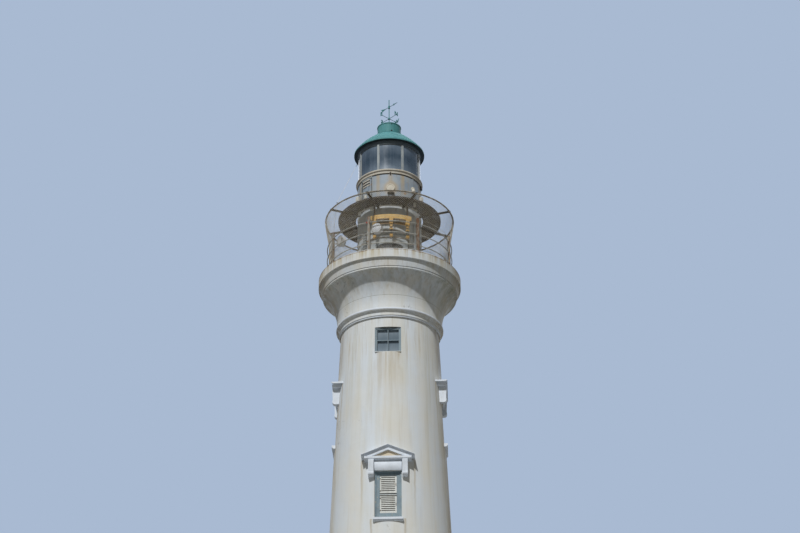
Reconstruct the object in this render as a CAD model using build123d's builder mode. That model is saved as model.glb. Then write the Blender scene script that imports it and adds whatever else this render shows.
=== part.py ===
"""A round masonry lighthouse on an octagonal base, modelled piece by piece from the ground up.

Millimetres, +Z up, origin on the tower's axis at ground level. The entrance and the front windows
face -Y. Bearings are degrees about the axis, counted from the front towards +X.
"""

from build123d import *

import os
from math import cos, hypot, radians, sin, tan

# Base: plinth, steps, walls, cornice and sloping cap
plinth_flats = 7200.0
plinth_height = 500.0
base_flats = 6400.0
base_height = 3400.0
base_cornice_height = 500.0
base_cornice_projection = 320.0
base_cap_height = 500.0
base_cap_margin = 60.0
step_count = 3
step_width = 2200.0
step_going = 300.0
bore_radius = 1200.0

# Entrance in the front wall of the base
door_width = 1100.0
door_height = 2250.0
door_thickness = 60.0
door_frame_width = 90.0
door_frame_depth = 160.0
door_recess = 350.0
door_panel_rows = 3
door_panel_columns = 2
door_stile = 110.0
door_panel_sink = 15.0

# Tapering shaft in four equal storeys and a shorter top one
storey_height = 3235.0
storey_count = 4
top_storey_height = 2180.0
shaft_top_radius = 1702.0
shaft_batter = 0.0434

# Tall windows, alternately front and back, then left and right
window_width = 880.0
window_height = 1675.0
window_sill_rise = 1230.0
window_recess = 120.0
frame_depth = 90.0
frame_side = 165.0
frame_head_rail = 140.0
frame_foot_rail = 230.0
frame_border = 60.0
frame_step = 25.0
leaf_gap = 60.0
leaf_thickness = 45.0
leaf_border = 50.0
slat_count = 8
slat_thickness = 12.0
slat_tilt = 54.0

# Square windows under the string course
top_window_width = 890.0
top_window_height = 965.0
top_window_sill_rise = 835.0
top_frame_side = 80.0
top_frame_depth = 70.0
top_frame_recess = 60.0
top_frame_border = 45.0
top_frame_step = 18.0
glazing_bar = 24.0
pane_thickness = 8.0

# Hoods over the openings: swelling frieze, two scrolled brackets, corona and pediment
hood_embed = 320.0
frieze_margin = 8.0
frieze_projection = 8.0
frieze_swell = 40.0
frieze_height = 352.0
console_width = 180.0
console_height = 574.0
console_offset = 115.0
console_projection = 125.0
console_block = 90.0
console_waist = 108.0
console_foot = 24.0
console_scroll = 144.0
bed_mould_projection = 70.0
bed_mould_height = 35.0
corona_overhang = 332.0
corona_projection = 125.0
corona_height = 105.0
pediment_overhang = 435.0
pediment_pitch = 0.41
pediment_edge_height = 50.0
tympanum_projection = 10.0
raking_steps = ((14.0, 160.0), (40.0, 135.0), (66.0, 110.0), (170.0, 85.0))

# Moulded sill: a slab over a hollow moulding
sill_margin = 50.0
sill_height = 72.0
sill_hollow_height = 44.0
sill_projection = 64.0

# String course and the hollow neck that carries the gallery
string_height = 300.0
string_band_height = 95.0
string_band_radius = 1832.0
string_middle_radius = 1775.0
string_fillet_height = 50.0
string_fillet_radius = 1735.0
string_hollow_height = 45.0
string_quirk = 14.0
neck_radius = 1831.0
neck_straight = 78.0
neck_height = 1275.0
neck_top_radius = 2290.0
neck_cove_radius = 1990.0
neck_cove_drop = 417.0

# Gallery cornice and deck
fillet_height = 62.0
fillet_radius = 2354.0
cornice_groove_height = 18.0
cornice_groove_radius = 2312.0
fascia_height = 284.0
fascia_foot_radius = 2372.0
fascia_head_radius = 2440.0
deck_radius = 2500.0
deck_thickness = 337.0
deck_nosing = 30.0

# Service room and lantern drum above the gallery
drum_radius = 1140.0
drum_wall = 200.0
service_room_height = 2343.0
lantern_floor_thickness = 120.0
murette_height = 1340.0
murette_wall = 90.0
hatch_width = 515.0
hatch_height = 1290.0
hatch_bearing = -43.5
hatch_thickness = 30.0
ledge_radius = 1205.0
ledge_bead_height = 95.0
ledge_band_height = 80.0
ledge_band_radius = 1168.0
ledge_groove_height = 15.0
ledge_bore_radius = 1020.0

# Lantern glazing and roof
lantern_turn = 4.5
mullion_count = 8
mullion_radius = 1153.0
mullion_width = 74.0
mullion_depth = 70.0
glass_radius = 1122.0
glass_thickness = 12.0
glazing_height = 1065.0
head_height = 150.0
head_wall = 100.0
roof_radius = 1281.0
roof_rim_height = 45.0
roof_thickness = 40.0
roof_rise = 800.0
roof_swell = 75.0
vent_radius = 428.0
vent_height = 400.0
vent_rim_radius = 440.0
vent_rim_height = 36.0
vent_wall = 60.0
vent_lid = 40.0

# Mast, compass arms and wind vane
mast_radius = 16.0
mast_height = 1255.0
mast_collar_radius = 38.0
mast_collar_height = 60.0
compass_rise = 430.0
compass_reach = 385.0
compass_arm_radius = 9.0
compass_turn = 45.0
vane_rise = 895.0
vane_seat_height = 20.0
vane_hub_radius = 34.0
vane_hub_height = 90.0
vane_clearance = 1.0
vane_seat_gap = 0.3
vane_bearing = 46.0
vane_rod_radius = 9.0
vane_tail_reach = 435.0
vane_point_reach = 345.0
vane_plate_length = 290.0
vane_plate_height = 150.0
vane_plate_thickness = 8.0
vane_notch = 70.0
vane_head_length = 110.0
vane_head_height = 90.0

# Upper walkway, its brackets and the cage ring
walkway_inner_radius = 1200.0
walkway_radius = 1840.0
walkway_thickness = 20.0
plate_joint = 6.0
bracket_count = 8
bracket_depth = 60.0
bracket_width = 100.0
bracket_plate = 10.0
cage_ring_radius = 2280.0
cage_tube_radius = 24.0

# Gallery railing
gallery_turn = 6.0
post_count = 8
post_radius = 2210.0
post_size = 80.0
post_height = 1450.0
post_foot_size = 160.0
post_foot_thickness = 12.0
rail_radius = 16.0
rail_heights = (370.0, 790.0, 1230.0)

# Rack, signal units and drum aerials behind the railing
rack_radius = 1530.0
rack_half_angle = 28.0
rack_drop = 480.0
rack_height = 200.0
rack_thickness = 60.0
hanger_size = 50.0
unit_width = 62.0
unit_depth = 62.0
unit_drop = 760.0
aerial_radius = 190.0
aerial_depth = 180.0
aerial_offset = 225.0
aerial_height = 1050.0
aerial_arm_size = 40.0
aerial_setback = 95.0
aerial_posts = (-1, -2)

# Taut lightning wire from the eave, over the cage ring, to the head of a railing post
wire_radius = 6.0
wire_eave_bearing = -109.5
wire_eave_inset = 20.0
wire_ring_bearing = -50.5
wire_ring_clearance = 14.5
wire_bend_radius = 60.0
wire_post = -2

ground = 0.0
plinth_top = ground + plinth_height
door_head = plinth_top + door_height
base_top = plinth_top + base_height
base_cornice_top = base_top + base_cornice_height
shaft_foot = base_cornice_top + base_cap_height
top_storey_foot = shaft_foot + storey_count * storey_height
shaft_top = top_storey_foot + top_storey_height
string_top = shaft_top + string_height
neck_top = string_top + neck_height
fillet_top = neck_top + fillet_height
fascia_top = fillet_top + fascia_height
gallery_level = fascia_top + deck_thickness
service_room_top = gallery_level + service_room_height
lantern_floor_top = service_room_top + lantern_floor_thickness
murette_top = lantern_floor_top + murette_height
ledge_top = murette_top + ledge_groove_height + ledge_band_height + ledge_bead_height
glazing_top = ledge_top + glazing_height
head_top = glazing_top + head_height
roof_top = head_top + roof_rim_height + roof_rise
vent_top = roof_top + vent_height
mast_top = vent_top + mast_height
walkway_level = lantern_floor_top - walkway_thickness


def shaft_radius(height):
    """Outside radius of the battered shaft at a height above the ground."""
    return shaft_top_radius + shaft_batter * (shaft_top - height)


def facing(bearing, height, reach=0.0):
    """A plane that looks outwards on a bearing: x to the right, y up, z away from the axis."""
    turn = radians(bearing)
    outward = Vector(sin(turn), -cos(turn), 0)
    along = Vector(cos(turn), sin(turn), 0)
    return Plane(origin=outward * reach + Vector(0, 0, height), x_dir=along, z_dir=outward)


def bearings(count, turn):
    """Bearings of evenly spaced pieces that straddle the front, turned by a few degrees."""
    return [(index + 0.5) * 360.0 / count + turn for index in range(count)]


def window_bearings(storey):
    """Front and back on even storeys, left and right on odd ones."""
    return (0.0, 180.0) if storey % 2 == 0 else (90.0, 270.0)


def storey_foot(storey):
    return shaft_foot + storey * storey_height


def window_sill(storey):
    return storey_foot(storey) + window_sill_rise


tall_windows = [
    (bearing, window_sill(storey))
    for storey in range(storey_count)
    for bearing in window_bearings(storey)
]
square_windows = [(bearing, top_storey_foot + top_window_sill_rise) for bearing in (0.0, 180.0)]


def save(builder, name):
    """Labels a finished piece and writes it to its own file."""
    builder.part.label = name
    export_step(builder.part, f"parts/{name}.step")


os.makedirs("parts", exist_ok=True)

# Plinth: an octagonal slab, which is also the ground floor
with BuildPart() as plinth:
    with BuildSketch(Plane.XY.offset(ground)):
        RegularPolygon(plinth_flats / 2, 8, major_radius=False, rotation=22.5)
    extrude(amount=plinth_height)
save(plinth, "plinth")

# Entrance steps, one solid flight up to the plinth
step_rise = plinth_height / (step_count + 1)
with BuildPart() as entrance_steps:
    for index in range(step_count):
        tread_depth = step_going * (step_count - index)
        with BuildSketch(Plane.XY.offset(ground + index * step_rise)):
            with Locations((0, -plinth_flats / 2 - tread_depth / 2)):
                Rectangle(step_width, tread_depth)
        extrude(amount=step_rise)
save(entrance_steps, "entrance_steps")

# Base walls: an octagon outside and the round stair well inside, cut by the doorway
door_plane = base_flats / 2 - door_recess
with BuildPart() as base_wall_lower:
    with BuildSketch(Plane.XY.offset(plinth_top)):
        RegularPolygon(base_flats / 2, 8, major_radius=False, rotation=22.5)
        Circle(bore_radius, mode=Mode.SUBTRACT)
        with Locations((0, -base_flats / 2)):
            Rectangle(door_width, base_flats, mode=Mode.SUBTRACT)
    extrude(amount=door_height)
save(base_wall_lower, "base_wall_lower")

with BuildPart() as base_wall_upper:
    with BuildSketch(Plane.XY.offset(door_head)):
        RegularPolygon(base_flats / 2, 8, major_radius=False, rotation=22.5)
        Circle(bore_radius, mode=Mode.SUBTRACT)
    extrude(amount=base_top - door_head)
save(base_wall_upper, "base_wall_upper")

# Base cornice, stepped out in three courses
cornice_courses = ((0.30, 0.25), (0.40, 0.65), (0.30, 1.00))
with BuildPart() as base_cornice:
    course_foot = base_top
    for height_share, projection_share in cornice_courses:
        with BuildSketch(Plane.XY.offset(course_foot)):
            reach = base_flats / 2 + projection_share * base_cornice_projection
            RegularPolygon(reach, 8, major_radius=False, rotation=22.5)
            Circle(bore_radius, mode=Mode.SUBTRACT)
        extrude(amount=height_share * base_cornice_height)
        course_foot += height_share * base_cornice_height
save(base_cornice, "base_cornice")

# Sloping cap that turns the octagon into the round of the shaft
with BuildPart() as base_cap:
    with BuildSketch(Plane.XY.offset(base_cornice_top)):
        RegularPolygon(base_flats / 2, 8, major_radius=False, rotation=22.5)
    with BuildSketch(Plane.XY.offset(shaft_foot)):
        RegularPolygon(shaft_radius(shaft_foot) + base_cap_margin, 8, major_radius=False, rotation=22.5)
    loft(ruled=True)
    with BuildSketch(Plane.XY.offset(base_cornice_top)):
        Circle(bore_radius)
    extrude(amount=base_cap_height, mode=Mode.SUBTRACT)
save(base_cap, "base_cap")

# Entrance door and its frame, set back in the passage
with BuildPart() as entrance_frame:
    with BuildSketch(facing(0, plinth_top, door_plane)):
        Rectangle(door_width, door_height, align=(Align.CENTER, Align.MIN))
        Rectangle(
            door_width - 2 * door_frame_width,
            door_height - door_frame_width,
            align=(Align.CENTER, Align.MIN),
            mode=Mode.SUBTRACT,
        )
    extrude(amount=-door_frame_depth)
save(entrance_frame, "entrance_frame")

# The door: one leaf with sunk panels in rows
leaf_reach = door_plane - door_frame_depth / 2
door_leaf_width = door_width - 2 * door_frame_width
door_leaf_height = door_height - door_frame_width
door_panel_width = (door_leaf_width - door_stile) / door_panel_columns - door_stile
door_panel_height = (door_leaf_height - door_stile) / door_panel_rows - door_stile
with BuildPart() as entrance_door:
    with BuildSketch(facing(0, plinth_top, leaf_reach)):
        Rectangle(door_leaf_width, door_leaf_height, align=(Align.CENTER, Align.MIN))
    extrude(amount=-door_thickness)
    with BuildSketch(facing(0, plinth_top + door_leaf_height / 2, leaf_reach)):
        with GridLocations(
            door_panel_width + door_stile,
            door_panel_height + door_stile,
            door_panel_columns,
            door_panel_rows,
        ):
            Rectangle(door_panel_width, door_panel_height)
    extrude(amount=-door_panel_sink, mode=Mode.SUBTRACT)
save(entrance_door, "entrance_door")

# The solid form of the shaft, used to fit pieces to its battered face
with BuildPart() as shaft_form:
    with BuildSketch(Plane.XZ):
        with BuildLine():
            Polyline(
                (0, shaft_foot),
                (shaft_radius(shaft_foot), shaft_foot),
                (shaft_radius(shaft_top), shaft_top),
                (0, shaft_top),
                close=True,
            )
        make_face()
    revolve(axis=Axis.Z)


def shaft_ring(foot, head):
    """One lift of the hollow shaft between two heights."""
    with BuildPart() as ring:
        with BuildSketch(Plane.XZ):
            with BuildLine():
                Polyline(
                    (bore_radius, foot),
                    (shaft_radius(foot), foot),
                    (shaft_radius(head), head),
                    (bore_radius, head),
                    close=True,
                )
            make_face()
        revolve(axis=Axis.Z)
    return ring.part


# Shaft, storey by storey, with its windows cut through the wall
for storey in range(storey_count):
    with BuildPart() as shaft_storey:
        add(shaft_ring(storey_foot(storey), storey_foot(storey + 1)))
        for bearing in window_bearings(storey):
            with BuildSketch(facing(bearing, window_sill(storey))):
                Rectangle(window_width, window_height, align=(Align.CENTER, Align.MIN))
            extrude(amount=base_flats, mode=Mode.SUBTRACT)
    save(shaft_storey, f"shaft_storey_{storey + 1}")

with BuildPart() as shaft_top_storey:
    add(shaft_ring(top_storey_foot, shaft_top))
    for bearing, sill in square_windows:
        with BuildSketch(facing(bearing, sill)):
            Rectangle(top_window_width, top_window_height, align=(Align.CENTER, Align.MIN))
        extrude(amount=base_flats, mode=Mode.SUBTRACT)
save(shaft_top_storey, "shaft_top_storey")

def gable(width, edge):
    """Pediment outline with raking sides; a negative edge draws the ends in along the foot."""
    half = width / 2 + min(edge, 0) / pediment_pitch
    edge = max(edge, 0)
    with BuildSketch() as outline:
        with BuildLine():
            Polyline((0, edge + pediment_pitch * half), (-half, edge), (half, edge), close=True)
        make_face()
        if edge > 0:
            Rectangle(2 * half, edge, align=(Align.CENTER, Align.MIN))
    return outline.sketch


def hood(opening_width):
    """One carved hood for an opening: x to the right, y up from its head, z off the wall."""
    frieze_width = opening_width + 2 * frieze_margin
    corona_width = opening_width + 2 * corona_overhang
    pediment_width = opening_width + 2 * pediment_overhang
    console_spacing = opening_width + 2 * console_offset
    corona_foot = frieze_height + bed_mould_height
    pediment_foot = frieze_height + corona_height
    with BuildPart() as carved:
        with BuildSketch(Plane.YZ.offset(-frieze_width / 2)):
            with BuildLine():
                swell = ThreePointArc(
                    (0, frieze_projection),
                    (frieze_height / 2, frieze_projection + frieze_swell),
                    (frieze_height, frieze_projection),
                )
                Polyline(swell @ 1, (frieze_height, -hood_embed), (0, -hood_embed), swell @ 0)
            make_face()
        extrude(amount=frieze_width)
        for side in (-1, 1):
            with BuildSketch(Plane.YZ.offset((side * console_spacing - console_width) / 2)):
                with BuildLine():
                    neck_height = frieze_height - console_block
                    scroll_top = frieze_height - console_height + console_scroll
                    foot_height = frieze_height - console_height
                    hollow = ThreePointArc(
                        (neck_height, console_projection),
                        (
                            (neck_height + 2 * scroll_top) / 3,
                            (console_projection + 3 * console_waist) / 4,
                        ),
                        (scroll_top, console_waist),
                    )
                    scroll = ThreePointArc(
                        (scroll_top, console_waist),
                        ((scroll_top + foot_height) / 2, console_waist + console_foot / 2),
                        (foot_height, console_foot),
                    )
                    Polyline(
                        scroll @ 1,
                        (foot_height, -hood_embed),
                        (frieze_height, -hood_embed),
                        (frieze_height, console_projection),
                        hollow @ 0,
                    )
                make_face()
            extrude(amount=console_width)
        with BuildSketch(Plane.YZ.offset(-corona_width / 2)):
            with BuildLine():
                bed = ThreePointArc(
                    (frieze_height, bed_mould_projection),
                    (
                        frieze_height + bed_mould_height / 3,
                        (bed_mould_projection + 2 * corona_projection) / 3,
                    ),
                    (corona_foot, corona_projection),
                )
                Polyline(
                    bed @ 1,
                    (pediment_foot, corona_projection),
                    (pediment_foot, -hood_embed),
                    (frieze_height, -hood_embed),
                    bed @ 0,
                )
            make_face()
        extrude(amount=corona_width)
        course_edge = pediment_edge_height
        for drop, projection in raking_steps:
            with BuildSketch(Plane.XY.offset(-hood_embed)):
                with Locations((0, pediment_foot)):
                    add(gable(pediment_width, course_edge))
                    course_edge = pediment_edge_height - drop
                    add(gable(pediment_width, course_edge), mode=Mode.SUBTRACT)
            extrude(amount=hood_embed + projection)
        with BuildSketch(Plane.XY.offset(-hood_embed)):
            with Locations((0, pediment_foot)):
                add(gable(pediment_width, course_edge))
        extrude(amount=hood_embed + tympanum_projection)
    return carved.part


# Window hoods, carved alike and fitted to the round of the wall
window_hood = hood(window_width)
hood_places = [
    facing(bearing, sill + window_height, shaft_radius(sill + window_height))
    for bearing, sill in tall_windows
]
with BuildPart() as window_hoods:
    with Locations(*[place.location for place in hood_places]):
        add(window_hood)
    add(shaft_form.part, mode=Mode.SUBTRACT)
save(window_hoods, "window_hoods")

# The hood over the entrance, let into the flat wall of the base
with BuildPart() as entrance_hood:
    with Locations(facing(0, door_head, base_flats / 2).location):
        add(hood(door_width))
    add(base_wall_upper.part, mode=Mode.SUBTRACT)
    add(base_wall_lower.part, mode=Mode.SUBTRACT)
save(entrance_hood, "entrance_hood")

# Window sills: a slab with a hollow moulding under it, fitted to the wall
sill_width = window_width + 2 * sill_margin
with BuildPart() as sill_blank:
    with BuildSketch(Plane.YZ.offset(-sill_width / 2)):
        with BuildLine():
            hollow = RadiusArc(
                (-sill_height, sill_projection - sill_hollow_height / 2),
                (-sill_height - sill_hollow_height, 0),
                -sill_hollow_height,
            )
            Polyline(
                hollow @ 1,
                (-sill_height - sill_hollow_height, -hood_embed),
                (0, -hood_embed),
                (0, sill_projection),
                (-sill_height, sill_projection),
                hollow @ 0,
            )
        make_face()
    extrude(amount=sill_width)

sill_places = [facing(bearing, sill, shaft_radius(sill)) for bearing, sill in tall_windows]
with BuildPart() as window_sills:
    with Locations(*[place.location for place in sill_places]):
        add(sill_blank.part)
    add(shaft_form.part, mode=Mode.SUBTRACT)
save(window_sills, "window_sills")

# Timber frames that fill the tall openings, and the louvred leaves in them
leaf_width = window_width - 2 * frame_side
leaf_height = (window_height - frame_head_rail - frame_foot_rail - leaf_gap) / 2
with BuildPart() as window_frames:
    for bearing, sill in tall_windows:
        reach = shaft_radius(sill + window_height) - window_recess
        with BuildSketch(facing(bearing, sill, reach)):
            Rectangle(window_width, window_height, align=(Align.CENTER, Align.MIN))
            for leaf in (0, 1):
                with Locations((0, frame_foot_rail + leaf * (leaf_height + leaf_gap))):
                    Rectangle(
                        leaf_width,
                        leaf_height,
                        align=(Align.CENTER, Align.MIN),
                        mode=Mode.SUBTRACT,
                    )
        extrude(amount=-frame_depth)
        with BuildSketch(facing(bearing, sill, reach)):
            Rectangle(window_width, window_height, align=(Align.CENTER, Align.MIN))
            with Locations((0, frame_border)):
                Rectangle(
                    window_width - 2 * frame_border,
                    window_height - 2 * frame_border,
                    align=(Align.CENTER, Align.MIN),
                    mode=Mode.SUBTRACT,
                )
        extrude(amount=frame_step)
save(window_frames, "window_frames")

# One louvred leaf lying face up, then a copy in each light of each window
slat_pitch = (leaf_height - 2 * leaf_border) / slat_count
with BuildPart() as louvred_leaf:
    with BuildSketch():
        Rectangle(leaf_width, leaf_height, align=(Align.CENTER, Align.MIN))
        with Locations((0, leaf_border)):
            Rectangle(
                leaf_width - 2 * leaf_border,
                leaf_height - 2 * leaf_border,
                align=(Align.CENTER, Align.MIN),
                mode=Mode.SUBTRACT,
            )
    extrude(amount=-leaf_thickness)
    slat_length = leaf_width - 2 * leaf_border
    slat_fall = leaf_thickness * tan(radians(slat_tilt))
    for index in range(slat_count):
        slat_foot = leaf_border + (index + 0.5) * slat_pitch - slat_fall / 2
        with BuildSketch(Plane.YZ.offset(-slat_length / 2)):
            with BuildLine():
                Polyline(
                    (slat_foot, 0),
                    (slat_foot + slat_thickness, 0),
                    (slat_foot + slat_thickness + slat_fall, -leaf_thickness),
                    (slat_foot + slat_fall, -leaf_thickness),
                    close=True,
                )
            make_face()
        extrude(amount=slat_length)

leaf_places = [
    facing(bearing, sill + frame_foot_rail + leaf * (leaf_height + leaf_gap),
           shaft_radius(sill + window_height) - window_recess - frame_depth / 4)
    for bearing, sill in tall_windows
    for leaf in (0, 1)
]
with BuildPart() as window_shutters:
    with Locations(*[place.location for place in leaf_places]):
        add(louvred_leaf.part)
save(window_shutters, "window_shutters")

# Square windows: a timber frame with a cross bar, and one sheet of glass behind it
top_light_width = (top_window_width - 2 * top_frame_side - glazing_bar) / 2
top_light_height = (top_window_height - 2 * top_frame_side - glazing_bar) / 2
top_frame_reach = shaft_radius(shaft_top) - top_frame_recess
with BuildPart() as top_window_frames:
    for bearing, sill in square_windows:
        with BuildSketch(facing(bearing, sill, top_frame_reach)):
            Rectangle(top_window_width, top_window_height, align=(Align.CENTER, Align.MIN))
            with Locations((0, top_window_height / 2)):
                with GridLocations(
                    top_light_width + glazing_bar, top_light_height + glazing_bar, 2, 2
                ):
                    Rectangle(top_light_width, top_light_height, mode=Mode.SUBTRACT)
        extrude(amount=-top_frame_depth)
        with BuildSketch(facing(bearing, sill + top_window_height / 2, top_frame_reach)):
            Rectangle(top_window_width, top_window_height)
            Rectangle(
                top_window_width - 2 * top_frame_border,
                top_window_height - 2 * top_frame_border,
                mode=Mode.SUBTRACT,
            )
        extrude(amount=top_frame_step)
save(top_window_frames, "top_window_frames")

with BuildPart() as top_window_glass:
    for bearing, sill in square_windows:
        with BuildSketch(facing(bearing, sill, top_frame_reach - top_frame_depth)):
            Rectangle(top_window_width, top_window_height, align=(Align.CENTER, Align.MIN))
        extrude(amount=-pane_thickness)
save(top_window_glass, "top_window_glass")


def turned(profile):
    """A piece turned about the tower's axis from (radius, height) points."""
    with BuildPart() as piece:
        with BuildSketch(Plane.XZ):
            with BuildLine():
                Polyline(*profile, close=True)
            make_face()
        revolve(axis=Axis.Z)
    return piece


# String course round the head of the shaft
middle_foot = shaft_top + string_fillet_height
band_foot = string_top - string_band_height
band_head = string_top - string_quirk
with BuildPart() as string_course:
    with BuildSketch(Plane.XZ):
        with BuildLine():
            hollow = RadiusArc(
                (string_middle_radius, band_foot - string_hollow_height),
                (string_band_radius - string_quirk, band_foot),
                -(string_band_radius - string_middle_radius),
            )
            band = ThreePointArc(
                (string_band_radius, band_foot),
                (string_band_radius + string_band_height / 4, (band_foot + band_head) / 2),
                (string_band_radius, band_head),
            )
            Line(hollow @ 1, band @ 0)
            Polyline(
                band @ 1,
                (string_band_radius - string_quirk, band_head),
                (string_band_radius - string_quirk, string_top),
                (bore_radius, string_top),
                (bore_radius, shaft_top),
                (string_fillet_radius, shaft_top),
                (string_fillet_radius, middle_foot),
                (string_middle_radius, middle_foot),
                hollow @ 0,
            )
        make_face()
    revolve(axis=Axis.Z)
save(string_course, "string_course")

# Coved neck that swells out under the gallery
with BuildPart() as gallery_neck:
    with BuildSketch(Plane.XZ):
        with BuildLine():
            cove = ThreePointArc(
                (neck_radius, string_top + neck_straight),
                (neck_cove_radius, neck_top - neck_cove_drop),
                (neck_top_radius, neck_top),
            )
            Polyline(
                cove @ 1,
                (bore_radius, neck_top),
                (bore_radius, string_top),
                (neck_radius, string_top),
                cove @ 0,
            )
        make_face()
    revolve(axis=Axis.Z)
save(gallery_neck, "gallery_neck")

# Cornice course under the deck: a fillet, a groove and a leaning fascia
gallery_cornice = turned(
    [
        (bore_radius, neck_top),
        (fillet_radius, neck_top),
        (fillet_radius, fillet_top - cornice_groove_height),
        (cornice_groove_radius, fillet_top - cornice_groove_height),
        (cornice_groove_radius, fillet_top),
        (fascia_foot_radius, fillet_top),
        (fascia_head_radius, fascia_top),
        (bore_radius, fascia_top),
    ]
)
save(gallery_cornice, "gallery_cornice")

# Gallery deck, which is also the floor of the service room
gallery_deck = turned(
    [
        (0, fascia_top),
        (deck_radius, fascia_top),
        (deck_radius, gallery_level - deck_nosing),
        (deck_radius - deck_nosing, gallery_level),
        (0, gallery_level),
    ]
)
save(gallery_deck, "gallery_deck")

# Service room wall, lantern floor and the murette that carries the glazing
service_room_wall = turned(
    [
        (drum_radius - drum_wall, gallery_level),
        (drum_radius, gallery_level),
        (drum_radius, service_room_top),
        (drum_radius - drum_wall, service_room_top),
    ]
)
save(service_room_wall, "service_room_wall")

lantern_floor = turned(
    [
        (0, service_room_top),
        (drum_radius, service_room_top),
        (drum_radius, lantern_floor_top),
        (0, lantern_floor_top),
    ]
)
save(lantern_floor, "lantern_floor")

with BuildPart() as murette:
    with BuildSketch(Plane.XY.offset(lantern_floor_top)):
        Circle(drum_radius)
        Circle(drum_radius - murette_wall, mode=Mode.SUBTRACT)
    extrude(amount=murette_height)
    with BuildSketch(facing(hatch_bearing, lantern_floor_top)):
        Rectangle(hatch_width, hatch_height, align=(Align.CENTER, Align.MIN))
    extrude(amount=2 * drum_radius, mode=Mode.SUBTRACT)
save(murette, "murette")

# Curved hatch door that fills the opening in the murette
with BuildPart() as murette_hatch:
    with BuildSketch(Plane.XY.offset(lantern_floor_top)):
        Circle(drum_radius - hatch_thickness / 3)
        Circle(drum_radius - hatch_thickness * 4 / 3, mode=Mode.SUBTRACT)
    extrude(amount=hatch_height)
    with BuildSketch(facing(hatch_bearing, lantern_floor_top)):
        Rectangle(hatch_width, hatch_height, align=(Align.CENTER, Align.MIN))
    extrude(amount=2 * drum_radius, mode=Mode.INTERSECT)
save(murette_hatch, "murette_hatch")

# Ledge under the glazing: a groove, a flat band and a bead
band_foot = murette_top + ledge_groove_height
bead_foot = band_foot + ledge_band_height
with BuildPart() as lantern_ledge:
    with BuildSketch(Plane.XZ):
        with BuildLine():
            bead = ThreePointArc(
                (ledge_band_radius, bead_foot),
                (ledge_radius, (bead_foot + ledge_top) / 2),
                (ledge_band_radius, ledge_top),
            )
            Polyline(
                bead @ 1,
                (ledge_bore_radius, ledge_top),
                (ledge_bore_radius, murette_top),
                (drum_radius, murette_top),
                (drum_radius, band_foot),
                (ledge_band_radius, band_foot),
                bead @ 0,
            )
        make_face()
    revolve(axis=Axis.Z)
save(lantern_ledge, "lantern_ledge")

# Glazing: upright bars with a curved pane between each pair
with BuildPart() as lantern_mullions:
    for bearing in bearings(mullion_count, lantern_turn):
        with BuildSketch(facing(bearing, ledge_top, mullion_radius)):
            Rectangle(mullion_width, glazing_height, align=(Align.CENTER, Align.MIN))
        extrude(amount=-mullion_depth)
save(lantern_mullions, "lantern_mullions")

with BuildPart() as lantern_glass:
    with BuildSketch(Plane.XY.offset(ledge_top)):
        Circle(glass_radius)
        Circle(glass_radius - glass_thickness, mode=Mode.SUBTRACT)
    extrude(amount=glazing_height)
    add(lantern_mullions.part, mode=Mode.SUBTRACT)
save(lantern_glass, "lantern_glass")

lantern_head = turned(
    [
        (mullion_radius - head_wall, glazing_top),
        (mullion_radius, glazing_top),
        (mullion_radius, head_top),
        (mullion_radius - head_wall, head_top),
    ]
)
save(lantern_head, "lantern_head")

# Roof: a thin swelling cone with a flat eave, open underneath
roof_rim_top = head_top + roof_rim_height
roof_mid_radius = (roof_radius + vent_radius) / 2
roof_mid_height = roof_rim_top + roof_rise / 2 + roof_swell
with BuildPart() as roof:
    with BuildSketch(Plane.XZ):
        with BuildLine():
            outside = ThreePointArc(
                (roof_radius, roof_rim_top),
                (roof_mid_radius, roof_mid_height),
                (vent_radius, roof_top),
            )
            inside = ThreePointArc(
                (vent_radius, roof_top - roof_thickness - roof_rim_height),
                (roof_mid_radius - roof_thickness, roof_mid_height - roof_thickness),
                (mullion_radius - head_wall, head_top),
            )
            Polyline(inside @ 1, (roof_radius, head_top), outside @ 0)
            Polyline(outside @ 1, inside @ 0)
        make_face()
    revolve(axis=Axis.Z)
save(roof, "roof")

# Vent cowl on the roof: a drum with a proud rim and a flat lid
roof_vent = turned(
    [
        (vent_radius - vent_wall, roof_top),
        (vent_radius, roof_top),
        (vent_radius, vent_top - vent_rim_height),
        (vent_rim_radius, vent_top - vent_rim_height),
        (vent_rim_radius, vent_top),
        (0, vent_top),
        (0, vent_top - vent_lid),
        (vent_radius - vent_wall, vent_top - vent_lid),
    ]
)
save(roof_vent, "roof_vent")

# Mast with its collar and the four arms that point to the quarters
compass_level = vent_top + compass_rise
vane_seat = vent_top + vane_rise
with BuildPart() as compass_mast:
    with BuildSketch(Plane.XZ):
        with BuildLine():
            Polyline(
                (0, vent_top),
                (mast_radius, vent_top),
                (mast_radius, compass_level - mast_collar_height / 2),
                (mast_collar_radius, compass_level - mast_collar_height / 2),
                (mast_collar_radius, compass_level + mast_collar_height / 2),
                (mast_radius, compass_level + mast_collar_height / 2),
                (mast_radius, vane_seat - vane_seat_height),
                (vane_hub_radius, vane_seat - vane_seat_height),
                (vane_hub_radius, vane_seat),
                (mast_radius, vane_seat),
                (mast_radius, mast_top),
                (0, mast_top),
                close=True,
            )
        make_face()
    revolve(axis=Axis.Z)
    for index in range(4):
        with BuildSketch(facing(compass_turn + 90 * index, compass_level)):
            Circle(compass_arm_radius)
        extrude(amount=compass_reach)
save(compass_mast, "compass_mast")

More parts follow.
